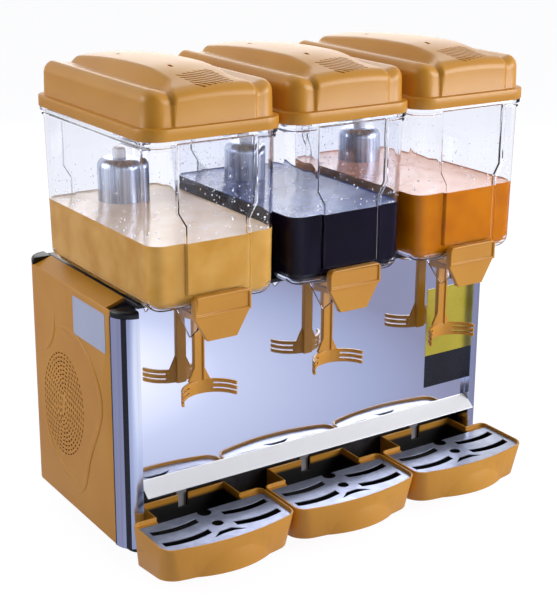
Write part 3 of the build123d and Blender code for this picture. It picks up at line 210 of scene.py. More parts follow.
def finish(name, dark, light, gloss, metal=0.0, grain=700.0, relief=2e-5, stretch=(1, 1, 1), drift=9.0):
    """A surface whose tone drifts slowly and whose gloss and relief follow a fine grain."""
    material = bpy.data.materials.new(name)
    material.use_nodes = True
    nodes = material.node_tree.nodes
    link = material.node_tree.links.new
    shader = nodes["Principled BSDF"]
    shader.inputs["Metallic"].default_value = metal
    place = nodes.new("ShaderNodeTexCoord")
    mapping = nodes.new("ShaderNodeMapping")
    mapping.inputs["Scale"].default_value = stretch
    link(place.outputs["Object"], mapping.inputs["Vector"])
    slow = nodes.new("ShaderNodeTexNoise")
    slow.inputs["Scale"].default_value = drift
    fine = nodes.new("ShaderNodeTexNoise")
    fine.inputs["Scale"].default_value = grain
    for noise in (slow, fine):
        link(mapping.outputs["Vector"], noise.inputs["Vector"])
    ramp = nodes.new("ShaderNodeValToRGB")
    ramp.color_ramp.elements[0].position = 0.35
    ramp.color_ramp.elements[1].position = 0.65
    ramp.color_ramp.elements[0].color = dark
    ramp.color_ramp.elements[1].color = light
    link(slow.outputs["Fac"], ramp.inputs["Fac"])
    link(ramp.outputs["Color"], shader.inputs["Base Color"])
    sheen = nodes.new("ShaderNodeMapRange")
    sheen.inputs["From Min"].default_value = 0.3
    sheen.inputs["From Max"].default_value = 0.7
    sheen.inputs["To Min"].default_value = gloss[0]
    sheen.inputs["To Max"].default_value = gloss[1]
    link(fine.outputs["Fac"], sheen.inputs["Value"])
    link(sheen.outputs["Result"], shader.inputs["Roughness"])
    bump = nodes.new("ShaderNodeBump")
    bump.inputs["Distance"].default_value = relief
    link(fine.outputs["Fac"], bump.inputs["Height"])
    link(bump.outputs["Normal"], shader.inputs["Normal"])
    return material


def dress(material, *names):
    """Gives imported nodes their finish."""
    for name in names:
        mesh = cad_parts[name].data
        mesh.materials.clear()
        mesh.materials.append(material)


# Painted shade: the galvanised sheet's tone is painted near-black for the shaded recess behind the drip
# trays.
galvanised_painted_shade = finish(
    "galvanised_sheet_painted_shade", tone(58, 57, 60), tone(84, 82, 85), (0.36, 0.52), metal=0.7, grain=90, drift=55
)
foot_rubber = finish("foot_rubber", tone(22, 22, 24), tone(34, 34, 36), (0.6, 0.8))
clip_plastic = finish("clip_plastic", tone(150, 148, 154), tone(172, 170, 176), (0.22, 0.34))
dress(galvanised_painted_shade, "base_tray")
dress(foot_rubber, "feet")
dress(clip_plastic, "tray_clips")

# The cold machinery inside the cabinet: a hermetic compressor, a finned condenser with its fan,
# a filter drier and copper pipes, all standing on the base tray.
compressor_paint = finish("compressor_paint", tone(20, 20, 22), tone(34, 34, 38), (0.25, 0.4), relief=5e-5)
fin_aluminium = finish("fin_aluminium", tone(168, 172, 176), tone(205, 208, 210), (0.25, 0.4), metal=1.0)
motor_steel = finish("motor_steel", tone(120, 124, 128), tone(150, 154, 158), (0.35, 0.5), metal=0.9)
copper = finish("bent_copper", tone(150, 82, 50), tone(205, 128, 86), (0.22, 0.38), metal=1.0, drift=40)
inner_black = finish("inner_black_plastic", tone(20, 20, 22), tone(30, 30, 32), (0.4, 0.55))
white_moulding = finish("white_moulding", tone(222, 224, 228), tone(240, 241, 243), (0.28, 0.38))
dress(compressor_paint, "compressor")
dress(fin_aluminium, "condenser")
dress(motor_steel, "fan_motor", "drive_motors")
dress(copper, "refrigerant_pipes", "filter_drier")
dress(inner_black, "fan_shroud", "fan_blade", "control_box")
dress(inner_black, "drive_magnet_left", "drive_magnet_middle", "drive_magnet_right")
dress(white_moulding, "impeller_left", "impeller_middle", "impeller_right")


# The side panels: one moulding each, with a sloping shoulder, an egg of vent slots and a low
# moulded line that swings round them. They clip over the base tray and screw to the rear panel.
def piece_from(mesh, name, material):
    """A new object for a finished mesh, with its place in the mesh."""
    mesh.name = name
    mesh.materials.clear()
    mesh.materials.append(material)
    piece = bpy.data.objects.new(name, mesh)
    scene.collection.objects.link(piece)
    return piece


def set_in_place(piece, body, slot, *nodes):
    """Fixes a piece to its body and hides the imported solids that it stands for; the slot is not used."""
    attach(piece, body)
    if nodes:
        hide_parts(*nodes)


def mesh_of(form, name):
    """A plain mesh from a worked form."""
    mesh = bpy.data.meshes.new(name)
    form.to_mesh(mesh)
    form.free()
    return mesh


def evaluated_mesh(holder):
    """The mesh that an object shows once its curve or its modifiers are worked out."""
    return bpy.data.meshes.new_from_object(holder.evaluated_get(bpy.context.evaluated_depsgraph_get()))


def join_flat_faces(form):
    """Joins neighbouring faces that lie in one plane."""
    flat = radians(0.6)
    bmesh.ops.dissolve_limit(form, angle_limit=flat, verts=form.verts, edges=form.edges)


def merged_solid(node):
    """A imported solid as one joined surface, with its flat faces whole."""
    form = bmesh.new()
    form.from_mesh(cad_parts[node].data)
    bmesh.ops.remove_doubles(form, verts=form.verts, dist=1e-6)
    join_flat_faces(form)
    return form


def eased_mesh(form, radius, shortest=0.0, corner=radians(38)):
    """Rounds the sharp edges of a joined surface, as a mould does. Flat faces keep their flat shading."""
    level = radians(0.8)
    for face in form.faces:
        bends = [edge.calc_face_angle(0.0) for edge in face.edges if len(edge.link_faces) == 2]
        face.smooth = any(level < bend <= corner for bend in bends)
    sharp = []
    for edge in form.edges:
        if len(edge.link_faces) == 2 and edge.calc_length() > shortest:
            if edge.calc_face_angle(0.0) > corner:
                sharp.append(edge)
    unrounded = BVHTree.FromBMesh(form)
    rounded = bmesh.ops.bevel(
        form, geom=sharp, offset=radius, offset_type="OFFSET", segments=2, profile=0.5,
        affect="EDGES", clamp_overlap=False,
    )
    for face in rounded["faces"]:
        face.smooth = True
    for vertex in form.verts:
        nearest, _, _, distance = unrounded.find_nearest(vertex.co)
        if distance > radius:
            vertex.co = nearest
    bmesh.ops.triangulate(form, faces=[face for face in form.faces if len(face.verts) > 4])
    mesh = mesh_of(form, "eased")
    if "custom_normal" in mesh.attributes:
        mesh.attributes.remove(mesh.attributes["custom_normal"])
    curved = [polygon.use_smooth for polygon in mesh.polygons]
    mesh.set_sharp_from_angle(angle=radians(30))
    mesh.polygons.foreach_set("use_smooth", curved)
    return mesh


def eased_piece(node, name, radius, material, body, slot):
    """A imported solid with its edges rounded, set in its place."""
    piece = piece_from(eased_mesh(merged_solid(node), radius), name, material)
    set_in_place(piece, body, slot, node)
    return piece


tan_plastic = finish(
    "tan_plastic", tone(203, 139, 40), tone(211, 149, 50), (0.33, 0.42), grain=1500, relief=6e-6, drift=7
)
side_skin = 0.287
side_edge_round = 0.0012
shortest_edge = 0.009
line_rise = 0.0011
line_half_width = 0.0060
vent_line = [
    (0.103, 0.268), (0.066, 0.277), (0.039, 0.270), (0.006, 0.254), (-0.017, 0.230), (-0.027, 0.203),
    (-0.021, 0.180), (0.001, 0.142), (0.018, 0.111), (0.024, 0.087), (0.033, 0.064), (0.052, 0.054),
]
foot_line = [
    (0.148, 0.138), (0.141, 0.111), (0.124, 0.089), (0.107, 0.076), (0.077, 0.069), (0.050, 0.0646),
]
shoulder_line = [(0.104, 0.290), (0.105, 0.271), (0.111, 0.253), (0.125, 0.233), (0.139, 0.225)]


def moulded_line(route, side):
    """A low rounded line on a side panel that fades out at its ends."""
    curve = bpy.data.curves.new("moulded_line", "CURVE")
    curve.dimensions = "3D"
    curve.resolution_u = 6
    curve.bevel_depth = line_half_width
    curve.bevel_resolution = 3
    spline = curve.splines.new("NURBS")
    spline.points.add(len(route) - 1)
    for index, (y, z) in enumerate(route):
        spline.points[index].co = (0, y, z, 1)
        from_end = min(index, len(route) - 1 - index)
        spline.points[index].radius = (0.15, 0.7, 1.0)[min(from_end, 2)]
    spline.order_u = 4
    spline.use_endpoint_u = True
    holder = bpy.data.objects.new("moulded_line", curve)
    scene.collection.objects.link(holder)
    mesh = evaluated_mesh(holder)
    bpy.data.objects.remove(holder)
    for vertex in mesh.vertices:
        vertex.co.x = side * side_skin + vertex.co.x * line_rise / line_half_width
    for polygon in mesh.polygons:
        polygon.use_smooth = True
    return mesh


for side, word in ((-1, "left"), (1, "right")):
    node = f"side_panel_{word}"
    form = merged_solid(node)
    for vertex in form.verts:
        vertex.co.x = max(-side_skin, min(side_skin, vertex.co.x))
    bmesh.ops.remove_doubles(form, verts=form.verts, dist=2e-5)
    bmesh.ops.dissolve_degenerate(form, edges=form.edges, dist=1e-6)
    join_flat_faces(form)
    panel_mesh = eased_mesh(form, side_edge_round, shortest=shortest_edge)
    panel = piece_from(panel_mesh, f"side_moulding_{word}", tan_plastic)
    set_in_place(panel, "cabinet", "tan_plastic", node)
    for index, route in enumerate((vent_line, foot_line, shoulder_line)):
        line = piece_from(moulded_line(route, side), f"side_line_{word}_{index + 1}", tan_plastic)
        set_in_place(line, "cabinet", "tan_plastic")


# The blank plates: a bare aluminium rating plate glued to the left side, and a bare two-colour
# label on the polished front. Both are thin sheets with rounded corners.
def thin_sheet(across, up, thickness, corner):
    """A thin rounded sheet centred on the origin, facing -Y."""
    outline = []
    for quarter, (x, z) in enumerate(((1, 1), (-1, 1), (-1, -1), (1, -1))):
        for step in range(5):
            angle = (quarter + step / 4) * pi / 2
            outline.append((
                x * (across / 2 - corner) + corner * cos(angle),
                z * (up / 2 - corner) + corner * sin(angle),
            ))
    form = bmesh.new()
    front = [form.verts.new((x, -thickness, z)) for x, z in outline]
    back = [form.verts.new((x, 0, z)) for x, z in outline]
    form.faces.new(front[::-1])
    form.faces.new(back)
    for index in range(len(outline)):
        after = (index + 1) % len(outline)
        form.faces.new((front[index], front[after], back[after], back[index]))
    bmesh.ops.recalc_face_normals(form, faces=form.faces)
    return mesh_of(form, "thin_sheet")


plate_finish = finish(
    "rating_plate", tone(188, 196, 222), tone(202, 209, 232), (0.3, 0.42), metal=0.35, stretch=(1, 1, 0.03)
)
plate_mesh = thin_sheet(0.088, 0.050, 0.0006, 0.003)
plate_mesh.transform(Matrix.Rotation(radians(-90), 4, "Z"))
plate_y = 0.001
plate_z = 0.3005
plate_mesh.transform(Matrix.Translation((-side_skin, plate_y, plate_z)))
set_in_place(piece_from(plate_mesh, "rating_plate", plate_finish), "cabinet", "sheet_steel")

label_yellow = finish("label_yellow", tone(178, 164, 44), tone(188, 174, 54), (0.25, 0.35), drift=20)
label_black = finish("label_black", tone(18, 18, 26), tone(26, 26, 36), (0.22, 0.32), drift=20)
panel_face = -0.073
label_x = 0.2265
for name, material, up, centre_z in (
    ("label_upper", label_yellow, 0.097, 0.2335), ("label_lower", label_black, 0.047, 0.1615)
):
    label_mesh = thin_sheet(0.083, up, 0.0003, 0.001)
    label_mesh.transform(Matrix.Translation((label_x, panel_face, centre_z)))
    set_in_place(piece_from(label_mesh, name, material), "cabinet", "white_plastic")

# The front pillars: bright quarter-round aluminium extrusions, each with a dark strip down its face.
# Black caps close their tops and the rear corners of the side panels. A thin rubber seal runs down
# the joint between each pillar and its side panel.
pillar_metal = finish(
    "pillar_aluminium", tone(198, 206, 228), tone(216, 222, 240), (0.12, 0.2), metal=1.0,
    grain=500, relief=2e-6, stretch=(1, 1, 0.01), drift=120,
)
strip_black = finish("strip_black", tone(26, 26, 34), tone(36, 36, 46), (0.25, 0.38))
cap_black = finish("cap_black", tone(12, 12, 18), tone(20, 20, 28), (0.36, 0.46), grain=1200, relief=8e-6)
dress(pillar_metal, "pillar_left", "pillar_right")
dress(strip_black, "pillar_stripes")
pillar_low, pillar_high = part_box("pillar_left")
seam_width = 0.0016
for side, word in ((-1, "left"), (1, "right")):
    seam_mesh = thin_sheet(seam_width, pillar_high.z - pillar_low.z, 0.0003, 0.0001)
    seam_mesh.transform(Matrix.Rotation(side * radians(90), 4, "Z"))
    seam_middle = (pillar_low.z + pillar_high.z) / 2
    seam_mesh.transform(Matrix.Translation((side * side_skin, pillar_high.y, seam_middle)))
    seam = piece_from(seam_mesh, f"pillar_seal_{word}", strip_black)
    set_in_place(seam, "cabinet", "seal_rubber")
eased_piece("corner_caps", "corner_cap_mouldings", 0.0012, cap_black, "cabinet", "black_plastic")

# The front panel: one mirror-polished stainless sheet, folded forward at its foot as a drip ledge whose satin
# face is painted near-white as a painted reflection. It hooks under the deck and rests on the base tray's
# flange.
mirror_steel = finish(
    "mirror_steel", tone(232, 235, 248), tone(238, 240, 252), (0.02, 0.07), metal=1.0,
    grain=260, relief=1e-6, stretch=(0.05, 1, 1), drift=5,
)
ledge_painted_reflection = finish(
    "ledge_painted_reflection", tone(248, 249, 253), tone(252, 252, 255), (0.4, 0.5), metal=0.1, grain=300, relief=2e-6,
    stretch=(0.05, 1, 1),
)
ledge_top_z = 0.114
front = eased_piece("front_panel", "polished_front", 0.0006, mirror_steel, "cabinet", "mirror_steel")
# Painted reflection: the ledge faces take a near-white satin finish in place of the mirror's bright
# reflection.
front.data.materials.append(ledge_painted_reflection)
for polygon in front.data.polygons:
    if polygon.center.y < panel_face and polygon.center.z < ledge_top_z:
        polygon.material_index = 1

# The rear panel and its controls: a louvred sheet with a black switch plate, two rockers, a
# thermostat knob, the mains inlet and six slotted screws.
rear_paint = finish(
    "rear_sheet", tone(158, 162, 166), tone(186, 190, 193), (0.34, 0.48), metal=0.8, grain=120
)
screw_steel = finish("screw_steel", tone(176, 178, 182), tone(206, 208, 212), (0.2, 0.3), metal=1.0)
dress(rear_paint, "rear_panel")
dress(screw_steel, "panel_screws")
for node, name, body, radius in (
    ("switch_plate", "switch_plate_moulding", "cabinet", 0.0008),
    ("rocker_power", "rocker_power_moulding", "rocker_power", 0.0005),
    ("rocker_mixing", "rocker_mixing_moulding", "rocker_mixing", 0.0005),
    ("thermostat_knob", "thermostat_moulding", "thermostat", 0.0006),
    ("mains_inlet", "mains_inlet_moulding", "cabinet", 0.0006),
):
    eased_piece(node, name, radius, cap_black, body, "black_plastic")

# The top deck: a dark moulded plate that the bowls stand on, with holes for the evaporators.
# It is screwed down on the cabinet.
deck_plastic = finish("deck_plastic", tone(24, 25, 32), tone(34, 35, 44), (0.3, 0.45), grain=1000)
eased_piece("top_deck", "top_deck_moulding", 0.0012, deck_plastic, "cabinet", "black_plastic")

# The evaporators: deep-drawn stainless cans that stand up through the bowls and chill the juice.
# Each has a rubber gasket round its foot and a white cap on its crown.
# The cans' dark and bright vertical bands are painted reflection streaks, together with a brushed grain.
can_steel_painted_streaks = finish(
    "evaporator_steel", tone(140, 150, 172), tone(216, 222, 236), (0.24, 0.38), metal=1.0,
    grain=420, relief=4e-6, stretch=(1, 1, 0.012), drift=160,
)
seal_rubber = finish("seal_rubber", tone(58, 58, 62), tone(76, 76, 80), (0.55, 0.7))
dress(can_steel_painted_streaks, "evaporators")
dress(white_moulding, "dome_caps")
dress(seal_rubber, "bowl_gaskets")

# The bowls: clear moulded plastic with a raised panel at the front and rear, a lipped rim with a
# bead under it, and a spout between two webs. They lift straight off the evaporators.
stations = ("left", "middle", "right")


def clear_finish(name, colour, haze, bend, clear):
    """See-through plastic or water that lets the lamps through to what is behind it."""
    material = bpy.data.materials.new(name)
    material.use_nodes = True
    nodes = material.node_tree.nodes
    link = material.node_tree.links.new
    shader = nodes["Principled BSDF"]
    shader.inputs["Base Color"].default_value = colour
    shader.inputs["Transmission Weight"].default_value = clear
    shader.inputs["IOR"].default_value = bend
    place = nodes.new("ShaderNodeTexCoord")
    ripple = nodes.new("ShaderNodeTexNoise")
    ripple.inputs["Scale"].default_value = 30.0
    link(place.outputs["Object"], ripple.inputs["Vector"])
    sheen = nodes.new("ShaderNodeMapRange")
    sheen.inputs["To Min"].default_value = haze[0]
    sheen.inputs["To Max"].default_value = haze[1]
    link(ripple.outputs["Fac"], sheen.inputs["Value"])
    link(sheen.outputs["Result"], shader.inputs["Roughness"])
    lamp_way = nodes.new("ShaderNodeBsdfTransparent")
    lamp_way.inputs["Color"].default_value = colour
    path = nodes.new("ShaderNodeLightPath")
    choose = nodes.new("ShaderNodeMixShader")
    link(path.outputs["Is Shadow Ray"], choose.inputs["Fac"])
    link(shader.outputs["BSDF"], choose.inputs[1])
    link(lamp_way.outputs["BSDF"], choose.inputs[2])
    link(choose.outputs["Shader"], nodes["Material Output"].inputs["Surface"])
    return material


clear_plastic = clear_finish("clear_plastic", (0.940, 0.950, 0.99, 1), (0.0, 0.03), 1.26, 1.0)
for station in stations:
    node = f"bowl_{station}"
    eased_piece(node, f"clear_bowl_{station}", 0.0006, clear_plastic, f"bowl_{station}", "clear_plastic")

# The juices: each fills its bowl to about a third, wets the walls in a small meniscus and leaves
# a round well for the evaporator. Pale mango, dark grape and orange.
station_step = 0.190
floor_z = 0.351
wall_foot_z = 0.347
wall_height = 0.209
wall_foot_half = 0.080
wall_foot_front = -0.138
wall_foot_rear = 0.144
half_growth = 0.004
rear_growth = 0.002
wall_corner = 0.017
least_corner = 0.003
flute_foot = 0.367
flute_foot_half = 0.040
flute_growth = 0.010
flute_knee_z = 0.448
flute_knee_rise = 0.017
flute_depth = 0.0045
wall_overlap = 0.0002
facing_up = 0.6


def to_station(index):
    """The shift from the middle bowl's place to a station's."""
    return Matrix.Translation(((index - 1) * station_step, 0, 0))


def bowl_inside(z):
    """The half width, the front and the rear of a bowl's inner wall at a level."""
    rise = (z - wall_foot_z) / wall_height
    half = wall_foot_half + half_growth * rise + wall_overlap
    return half, wall_foot_front - wall_overlap, wall_foot_rear + rear_growth * rise + wall_overlap


def flute_half(z):
    """Half the width of the raised panel's hollow, which widens above the middle."""
    widened = max(0.0, min(1.0, (z - flute_knee_z) / flute_knee_rise))
    return flute_foot_half + flute_growth * widened


def bowl_loop(z, inset=0.0, fluted=True):
    """The bowl's inner outline at a level, drawn in by an inset."""
    half, front, rear = bowl_inside(z)
    half, front, rear = half - inset, front + inset, rear - inset
    corner = max(wall_corner - inset, least_corner)
    depth = flute_depth if fluted else 0.0
    flat = flute_half(z) - inset
    step = 0.0006
    points = []
    for x, y, start in ((1, 1, 0), (-1, 1, 1), (-1, -1, 2), (1, -1, 3)):
        centre_y = rear - corner if y > 0 else front + corner
        for index in range(7):
            angle = (start + index / 6) * pi / 2
            points.append((x * (half - corner) + corner * cos(angle), centre_y + corner * sin(angle), z))
        if start in (0, 2):
            edge = rear if y > 0 else front
            out = y * depth
            for across, push in ((flat + step, 0), (flat - step, out), (step - flat, out), (-flat - step, 0)):
                points.append((x * across, edge + push, z))
    return points


def join_loops(form, loops):
    """Lofts a surface through closed loops of equal length, and returns the loops' corners."""
    rings = [[form.verts.new(point) for point in loop] for loop in loops]
    for low, high in zip(rings, rings[1:]):
        for index in range(len(low)):
            after = (index + 1) % len(low)
            form.faces.new((low[index], low[after], high[after], high[index]))
    return rings


def ring_edges(form, ring):
    """The edges round a closed loop of corners, made where they are missing."""
    edges = []
    for index, corner in enumerate(ring):
        after = ring[(index + 1) % len(ring)]
        edges.append(form.edges.get((corner, after)) or form.edges.new((corner, after)))
    return edges


def juice_mesh(level):
    """A bowl's filling up to a level, about X = 0, with a round well for the evaporator."""
    foot_round = 0.013
    loops = []
    for step in range(5):
        angle = step / 4 * pi / 2
        inset = foot_round * (1 - sin(angle))
        loops.append(bowl_loop(floor_z + foot_round * (1 - cos(angle)), inset, fluted=False))
    loops.append(bowl_loop(flute_foot, fluted=False))
    loops.append(bowl_loop(flute_foot + 0.0004))
    for z in (0.400, flute_knee_z, flute_knee_z + flute_knee_rise):
        if z < level - 0.004:
            loops.append(bowl_loop(z))
    loops.append(bowl_loop(level + 0.0016))
    loops.append([(x, y, level + 0.0006) for x, y, z in bowl_loop(level, 0.0009)])
    loops.append([(x, y, level) for x, y, z in bowl_loop(level, 0.0030)])
    form = bmesh.new()
    rings = join_loops(form, loops)
    well_low, well_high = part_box("evaporators")
    well_y = (well_low.y + well_high.y) / 2
    well_radius = 0.0303
    well_steps = 48
    well = []
    for z in (floor_z, level):
        circle = []
        for index in range(well_steps):
            angle = index / well_steps * 2 * pi
            circle.append((well_radius * cos(angle), well_y + well_radius * sin(angle), z))
        well.append(circle)
    well_rings = join_loops(form, well)
    for outer, hole in ((rings[0], well_rings[0]), (rings[-1], well_rings[1])):
        edges = ring_edges(form, outer) + ring_edges(form, hole)
        bmesh.ops.triangle_fill(form, use_beauty=True, use_dissolve=False, edges=edges)
    bmesh.ops.recalc_face_normals(form, faces=form.faces)
    for face in form.faces:
        face.smooth = True
    mesh = mesh_of(form, "juice")
    mesh.set_sharp_from_angle(angle=radians(35))
    return mesh


def juice_finish(name, deep, cloudy, scatter):
    """Cloudy juice: slow drifts of pulp, a wet gloss and some light carried under the surface."""
    material = finish(name, deep, cloudy, (0.12, 0.2), grain=60, relief=1e-6, drift=26)
    shader = material.node_tree.nodes["Principled BSDF"]
    shader.inputs["Subsurface Weight"].default_value = scatter
    shader.inputs["Subsurface Radius"].default_value = (0.012, 0.006, 0.002)
    shader.inputs["Specular IOR Level"].default_value = 0.05
    return material


def painted_reflection_top(name, dark, light):
    """The still surface of a juice, painted paler than the juice as a painted reflection of the pale
    surround, with a little gloss of its own.
    """
    material = finish(name, dark, light, (0.18, 0.28), grain=40, relief=1e-6, drift=22)
    material.node_tree.nodes["Principled BSDF"].inputs["Specular IOR Level"].default_value = 0.22
    return material


# Each juice's top takes a pale finish, bluish on the grape, as a painted reflection of the surround.
juices = {
    "left": (
        0.4265,
        juice_finish("mango_juice", tone(172, 126, 50), tone(186, 144, 74), 0.1),
        painted_reflection_top("mango_top_painted_reflection", tone(202, 176, 140), tone(212, 190, 160)),
    ),
    "middle": (
        0.4335,
        juice_finish("grape_juice", tone(6, 3, 16), tone(10, 4, 24), 0.0),
        painted_reflection_top("grape_top_painted_reflection", tone(38, 62, 122), tone(60, 88, 150)),
    ),
    "right": (
        0.4355,
        juice_finish("orange_juice", tone(164, 92, 2), tone(178, 106, 5), 0.1),
        painted_reflection_top("orange_top_painted_reflection", tone(208, 138, 92), tone(218, 152, 108)),
    ),
}
for index, station in enumerate(stations):
    level, material, surface = juices[station]
    filling_mesh = juice_mesh(level)
    filling_mesh.transform(to_station(index))
    filling = piece_from(filling_mesh, f"juice_{station}", material)
    # The upward faces take the painted reflection finish.
    filling_mesh.materials.append(surface)
    for polygon in filling_mesh.polygons:
        if polygon.normal.z > facing_up:
            polygon.material_index = 1
    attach(filling, f"bowl_{station}")

# The condensation: small drops that cling to the inside of each bowl above the juice.
# They are scattered over the wall, thickest just above the juice line.
drops_tree = bpy.data.node_groups.new("clinging_drops", "GeometryNodeTree")
faces = drops_tree.interface
faces.new_socket("Wall", in_out="INPUT", socket_type="NodeSocketGeometry")
for socket_name, socket_type in (
    ("Drops per square metre", "NodeSocketFloat"), ("Smallest radius", "NodeSocketFloat"),
    ("Largest radius", "NodeSocketFloat"), ("Seed", "NodeSocketInt"), ("Finish", "NodeSocketMaterial"),
):
    faces.new_socket(socket_name, in_out="INPUT", socket_type=socket_type)
faces.new_socket("Drops", in_out="OUTPUT", socket_type="NodeSocketGeometry")
nodes = drops_tree.nodes
link = drops_tree.links.new
given = nodes.new("NodeGroupInput")
scatter = nodes.new("GeometryNodeDistributePointsOnFaces")
bead = nodes.new("GeometryNodeMeshIcoSphere")
bead.inputs["Radius"].default_value = 1.0
bead.inputs["Subdivisions"].default_value = 2
size = nodes.new("FunctionNodeRandomValue")
size.data_type = "FLOAT"
flatten = nodes.new("ShaderNodeVectorMath")
flatten.operation = "SCALE"
flatten.inputs[0].default_value = (1.0, 1.0, 0.55)
place_drops = nodes.new("GeometryNodeInstanceOnPoints")
realize = nodes.new("GeometryNodeRealizeInstances")
smooth = nodes.new("GeometryNodeSetShadeSmooth")
paint = nodes.new("GeometryNodeSetMaterial")
result = nodes.new("NodeGroupOutput")
link(given.outputs["Wall"], scatter.inputs["Mesh"])
link(given.outputs["Drops per square metre"], scatter.inputs["Density"])
link(given.outputs["Seed"], scatter.inputs["Seed"])
link(given.outputs["Seed"], size.inputs["Seed"])
link(given.outputs["Smallest radius"], size.inputs[2])
link(given.outputs["Largest radius"], size.inputs[3])
link(size.outputs[1], flatten.inputs["Scale"])
link(scatter.outputs["Points"], place_drops.inputs["Points"])
link(scatter.outputs["Rotation"], place_drops.inputs["Rotation"])
link(bead.outputs["Mesh"], place_drops.inputs["Instance"])
link(flatten.outputs["Vector"], place_drops.inputs["Scale"])
link(place_drops.outputs["Instances"], realize.inputs["Geometry"])
link(realize.outputs["Geometry"], smooth.inputs["Geometry"])
link(smooth.outputs["Geometry"], paint.inputs["Geometry"])
link(given.outputs["Finish"], paint.inputs["Material"])
link(paint.outputs["Geometry"], result.inputs["Drops"])


def shaped_by(tree, mesh, values):
    """The plain mesh that a node tree makes of a mesh, with its named inputs set."""
    holder = bpy.data.objects.new("shaping", mesh)
    scene.collection.objects.link(holder)
    modifier = holder.modifiers.new("shaping", "NODES")
    modifier.node_group = tree
    for item in tree.interface.items_tree:
        if item.in_out == "INPUT" and item.name in values:
            modifier[item.identifier] = values[item.name]
    made = evaluated_mesh(holder)
    holder.modifiers.remove(modifier)
    bpy.data.objects.remove(holder)
    return made


def wall_band(low, high):
    """The inner wall of a bowl between two levels, facing into the bowl."""
    form = bmesh.new()
    steps = 8
    loops = [bowl_loop(low + (high - low) * step / steps, 0.0006) for step in range(steps + 1)]
    join_loops(form, loops)
    bmesh.ops.recalc_face_normals(form, faces=form.faces)
    bmesh.ops.reverse_faces(form, faces=form.faces)
    return mesh_of(form, "wall_band")


smallest_drop = 0.0005
water = clear_finish("clinging_water", (0.97, 0.975, 0.99, 1), (0.0, 0.05), 1.33, 0.5)
for index, station in enumerate(stations):
    level = juices[station][0]
    drops = bmesh.new()
    for band, (low, high, count, largest) in enumerate(
        ((0.003, 0.022, 7600.0, 0.0014), (0.022, 0.060, 3800.0, 0.0012), (0.060, 0.105, 1100.0, 0.0010))
    ):
        wall = wall_band(level + low, level + high)
        scattered = shaped_by(drops_tree, wall, {
            "Drops per square metre": count,
            "Smallest radius": smallest_drop,
            "Largest radius": largest,
            "Seed": 10 * index + band,
            "Finish": water,
        })
        drops.from_mesh(scattered)
    drops_mesh = mesh_of(drops, "drops")
    drops_mesh.transform(to_station(index))
    clinging = piece_from(drops_mesh, f"clinging_drops_{station}", water)
    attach(clinging, f"bowl_{station}")

# The lids: one thin moulding each, with a stepped skirt, rounded shoulders and a broad ridge that
# arches from front to rear. An air vent of slanting louvres is cut through the ridge's nose.
lid_low, lid_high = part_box("lid_middle")
skirt_half = lid_high.x
skirt_front = lid_low.y
skirt_rear = lid_high.y
skirt_foot = lid_low.z
crest_z = lid_high.z
flange_z = skirt_foot + 0.014
flange_step = 0.008
body_half = skirt_half - flange_step
body_front = skirt_front + flange_step
body_rear = skirt_rear - flange_step
body_corner = 0.020
body_top = crest_z - 0.015
shoulder_round = 0.015
nose_round = 0.012
ridge_half = 0.054
ridge_top_half = 0.0385
ridge_proud = 0.004
nose_edge = body_front - ridge_proud
nose_slope = 0.21
nose_flare = 0.0135
nose_blend = 0.0015
crest_setback = 0.112
front_fall = 0.004
rear_fall = 0.012
crown_fall = 0.0025
flank_slope = 1.15
valley_depth = 0.005
valley_width = 0.020
lid_wall = 0.0024
crease_left = 0.4


def smooth_step(value):
    """0 to 1 with a gentle start and end."""
    value = max(0.0, min(1.0, value))
    return value * value * (3 - 2 * value)


def soft_least(a, b, width):
    """The lesser of two heights, blended where they are close."""
    share = max(0.0, min(1.0, 0.5 + 0.5 * (b - a) / width))
    return b + (a - b) * share - width * share * (1 - share)


def soft_most(a, b, width):
    """The greater of two heights, blended where they are close."""
    return -soft_least(-a, -b, width)


def ridge_height(x, y):
    """The arched ridge: a sloping nose, a long low arch and leaning flanks."""
    slope = body_top - 0.001 + (y - nose_edge) * nose_slope
    middle = nose_edge + crest_setback
    rear_run = (y - middle) / (body_rear - middle)
    front_run = (middle - y) / (middle - nose_edge)
    arch = crest_z - rear_fall * max(0.0, rear_run) ** 2 - front_fall * max(0.0, front_run) ** 2
    along = soft_least(slope, arch, 0.005)
    side = abs(x)
    flare = nose_flare * smooth_step((nose_edge + 0.042 - y) / 0.034)
    top_half = ridge_top_half + flare
    crown = crest_z - crown_fall * (side / top_half) ** 2
    flank = crest_z - crown_fall - (side - top_half) * flank_slope
    across = soft_least(crown, flank, 0.0035)
    return along + across - crest_z


def nose_share(x):
    """1 across the ridge's nose and 0 beside it."""
    return smooth_step((ridge_half + nose_blend - abs(x)) / (2 * nose_blend))


def lid_height(x, y, inside):
    """The lid's top at a place that lies a given distance inside its outline."""
    side = abs(x)
    valley = body_top - valley_depth * max(0.0, min(1.0, 1 - (side - ridge_half) / valley_width))
    top = soft_most(valley, ridge_height(x, y), 0.0030)
    near_front = smooth_step((body_front + 0.04 - y) / 0.02)
    edge = shoulder_round + (nose_round - shoulder_round) * nose_share(x) * near_front
    if inside < edge:
        top -= edge - sqrt(max(0.0, edge**2 - (edge - inside) ** 2))
    return top


def spread_rows():
    """Distances along the lid from its front, close together at the rounded ends."""
    length = body_rear - body_front
    ends = [body_corner * (1 - cos(step / 10 * pi / 2)) for step in range(10)]
    middle = [body_corner + (length - 2 * body_corner) * step / 78 for step in range(79)]
    return ends + middle + [length - value for value in reversed(ends)]


def spread_columns():
    """Places across the lid from -1 to 1, close together at the shoulders and the ridge's feet."""
    marks = [1 - (1 - sin(step / 9 * pi / 2)) * 0.16 for step in range(10)]
    flank = [0.84 - 0.155 * step / 9 for step in range(1, 10)]
    foot = [0.685 - 0.31 * step / 30 for step in range(1, 31)]
    crown = [0.375 - 0.375 * step / 12 for step in range(1, 13)]
    half = sorted(set(marks + flank + foot + crown))
    return [-value for value in reversed(half) if value > 0] + half


